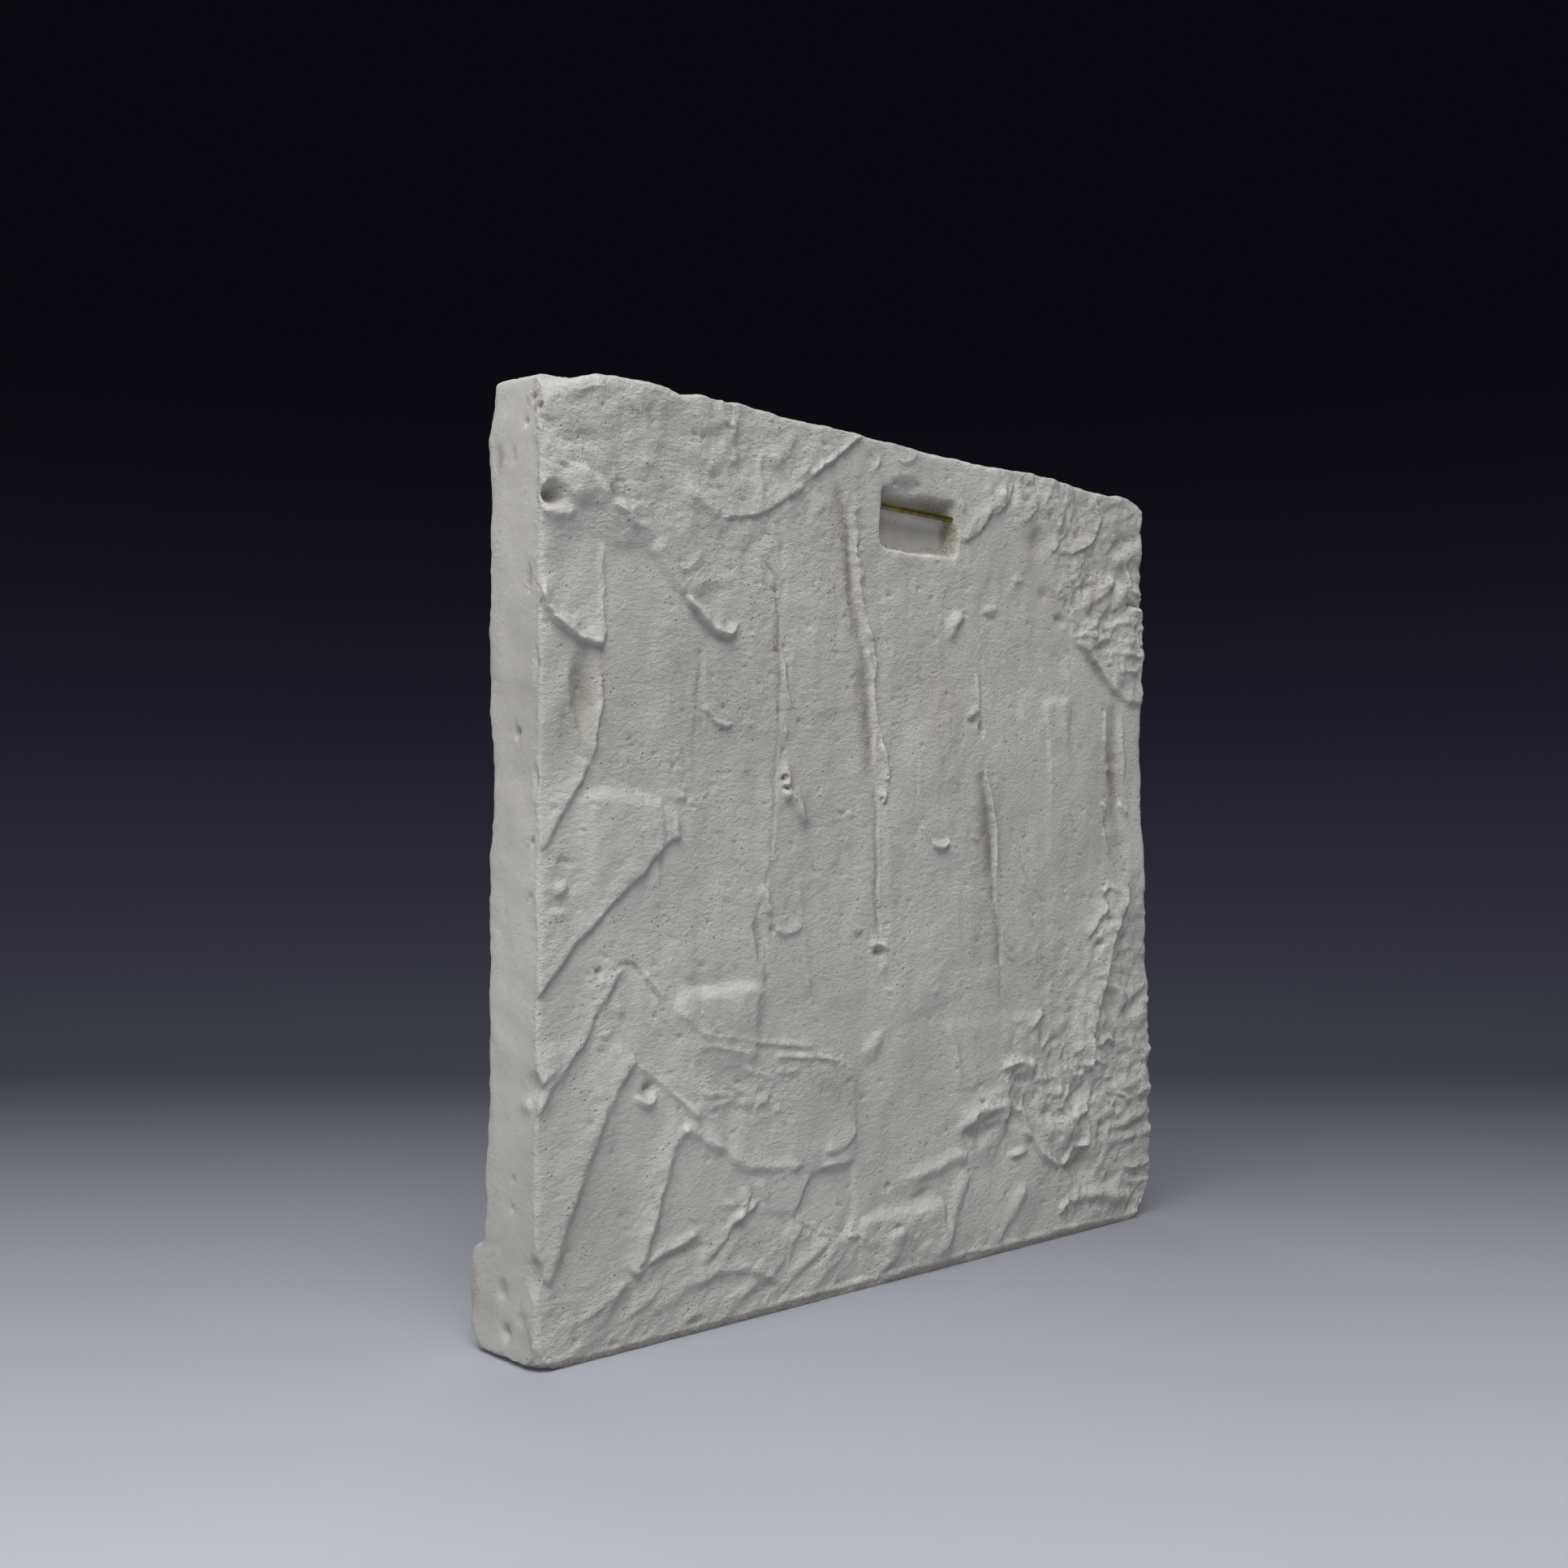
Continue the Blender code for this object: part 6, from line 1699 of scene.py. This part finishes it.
@dataclass(frozen=True)
class SoftLight:
    """A square soft light that points at the slab, with its place and side in metres and power in watts."""

    name: str
    spot: tuple[float, float, float]
    size: float
    power: float
    colour: tuple[float, float, float] = (1.0, 1.0, 1.0)

    def hang(self, aim: Vector) -> None:
        """Hangs the light so that it points at a place."""
        lamp = bpy.data.lights.new(self.name, "AREA")
        lamp.shape = "SQUARE"
        lamp.size = self.size
        lamp.energy = self.power
        lamp.color = self.colour
        item = bpy.data.objects.new(self.name, lamp)
        spot = Vector(self.spot)
        turn = (aim - spot).to_track_quat("-Z", "Y").to_matrix().to_4x4()
        item.matrix_world = Matrix.Translation(spot) @ turn
        bpy.context.scene.collection.objects.link(item)


@dataclass
class Studio:
    """The pale floor and the dark air that it fades into, the soft lights and the camera, in metres.

    `air` gives the air's colour at a few heights, as the upward part of the way that one looks.
    """

    floor_radius: float = 1.4
    pale_until: float = -0.33
    faded_from: float = 0.73
    fade_curve: float = 1.5
    pale: tuple[float, float, float] = (0.502, 0.515, 0.567)
    aim_height: float = 0.2
    lights: tuple[SoftLight, ...] = (
        SoftLight("soft_key", (1.32, 1.02, 2.57), 2.1, 101.0),
        SoftLight("soft_fill", (0.3, 2.3, 1.0), 2.0, 4.0, (0.97, 0.98, 1.0)),
        SoftLight("soft_side", (1.9, -0.4, 0.8), 1.2, 0.8),
        SoftLight("soft_front", (-1.2, -2.2, 1.5), 1.8, 16.0))
    camera_spot: tuple[float, float, float] = (0.59845, 0.59515, 0.22175)
    camera_yaw: float = 0.7371
    camera_pitch: float = 0.0373
    lens: float = 36.906
    air: tuple[tuple[float, tuple[float, float, float]], ...] = (
        (-0.60, (0.165, 0.170, 0.190)), (-0.178, (0.060, 0.060, 0.074)),
        (-0.08, (0.0343, 0.0343, 0.0482)), (-0.005, (0.0222, 0.0203, 0.0319)),
        (0.07, (0.0130, 0.0116, 0.0203)), (0.146, (0.0070, 0.0065, 0.0110)),
        (0.22, (0.0044, 0.0040, 0.0065)), (0.29, (0.0033, 0.0030, 0.0052)))

    def floor(self) -> None:
        """Lays the floor, which fades out into the air behind the slab, a fade that also stands in for the
        light falling off across it.
        """
        nodes = NodeBench("studio_floor")
        place = nodes.add("ShaderNodeTexCoord").outputs["Object"]
        ahead = nodes.add("ShaderNodeVectorMath")
        ahead.operation = "DOT_PRODUCT"
        nodes.join(place, ahead.inputs[0])
        ahead.inputs[1].default_value = (-math.sin(self.camera_yaw), -math.cos(self.camera_yaw), 0.0)
        # Painted shade: the floor shows less with distance from the camera, so the dark air shows through;
        # this stands in for the light's fall-off across the floor as well as the horizon.
        shown = nodes.spread(ahead.outputs["Value"], self.pale_until, self.faded_from, 0.0, 1.0)
        shown = nodes.maths("POWER", shown, self.fade_curve)
        nodes.shader.inputs["Base Color"].default_value = (*self.pale, 1.0)
        nodes.shader.inputs["Roughness"].default_value = 0.9
        nodes.shader.inputs["Specular IOR Level"].default_value = 0.1
        clear = nodes.add("ShaderNodeBsdfTransparent")
        mixed = nodes.add("ShaderNodeMixShader")
        nodes.join(shown, mixed.inputs["Fac"])
        nodes.join(clear.outputs["BSDF"], mixed.inputs[1])
        nodes.join(nodes.shader.outputs["BSDF"], mixed.inputs[2])
        nodes.join(mixed.outputs["Shader"], nodes.tree.nodes["Material Output"].inputs["Surface"])
        shape = bmesh.new()
        bmesh.ops.create_circle(shape, cap_ends=True, segments=96, radius=self.floor_radius)
        item = placed("studio_floor", shape)
        item.data.materials.append(nodes.material)

    def sky(self) -> None:
        """Makes the air round the studio, darker the higher it is."""
        world = bpy.data.worlds.new("studio_air")
        world.use_nodes = True
        nodes, links = world.node_tree.nodes, world.node_tree.links
        place = nodes.new("ShaderNodeTexCoord")
        parts = nodes.new("ShaderNodeSeparateXYZ")
        share = nodes.new("ShaderNodeMapRange")
        ramp = nodes.new("ShaderNodeValToRGB")
        links.new(place.outputs["Generated"], parts.inputs["Vector"])
        links.new(parts.outputs["Z"], share.inputs["Value"])
        low, high = self.air[0][0], self.air[-1][0]
        share.inputs["From Min"].default_value = low
        share.inputs["From Max"].default_value = high
        links.new(share.outputs["Result"], ramp.inputs["Fac"])
        links.new(ramp.outputs["Color"], nodes["Background"].inputs["Color"])
        stops = ramp.color_ramp.elements
        while len(stops) < len(self.air):
            stops.new(0.5)
        for stop, (height, colour) in zip(stops, self.air):
            stop.position = (height - low) / (high - low)
            stop.color = (*colour, 1.0)
        bpy.context.scene.world = world
        bpy.context.scene.view_settings.view_transform = "Standard"

    def camera(self) -> None:
        """Stands the camera where the photo was taken from."""
        lens = bpy.data.cameras.new("photo_view")
        lens.lens = self.lens
        lens.sensor_width = 36.0
        lens.clip_start = 0.01
        item = bpy.data.objects.new("photo_view", lens)
        level = math.cos(self.camera_pitch)
        ahead = Vector((-math.sin(self.camera_yaw) * level, -math.cos(self.camera_yaw) * level,
                        math.sin(self.camera_pitch)))
        turn = ahead.to_track_quat("-Z", "Y").to_matrix().to_4x4()
        item.matrix_world = Matrix.Translation(self.camera_spot) @ turn
        bpy.context.scene.collection.objects.link(item)
        bpy.context.scene.camera = item

    def set_up(self) -> None:
        """Makes the whole studio."""
        self.floor()
        for light in self.lights:
            light.hang(Vector((0.0, 0.0, self.aim_height)))
        self.sky()
        self.camera()
        log.info("studio: floor, lights, air and camera")


def main() -> None:
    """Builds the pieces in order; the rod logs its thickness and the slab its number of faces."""
    logging.basicConfig(level=logging.INFO, format="%(name)s: %(message)s")
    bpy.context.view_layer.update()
    PlasterSlab().build()
    HangingRod().build()
    Studio().set_up()


if __name__ == "__main__":
    main()
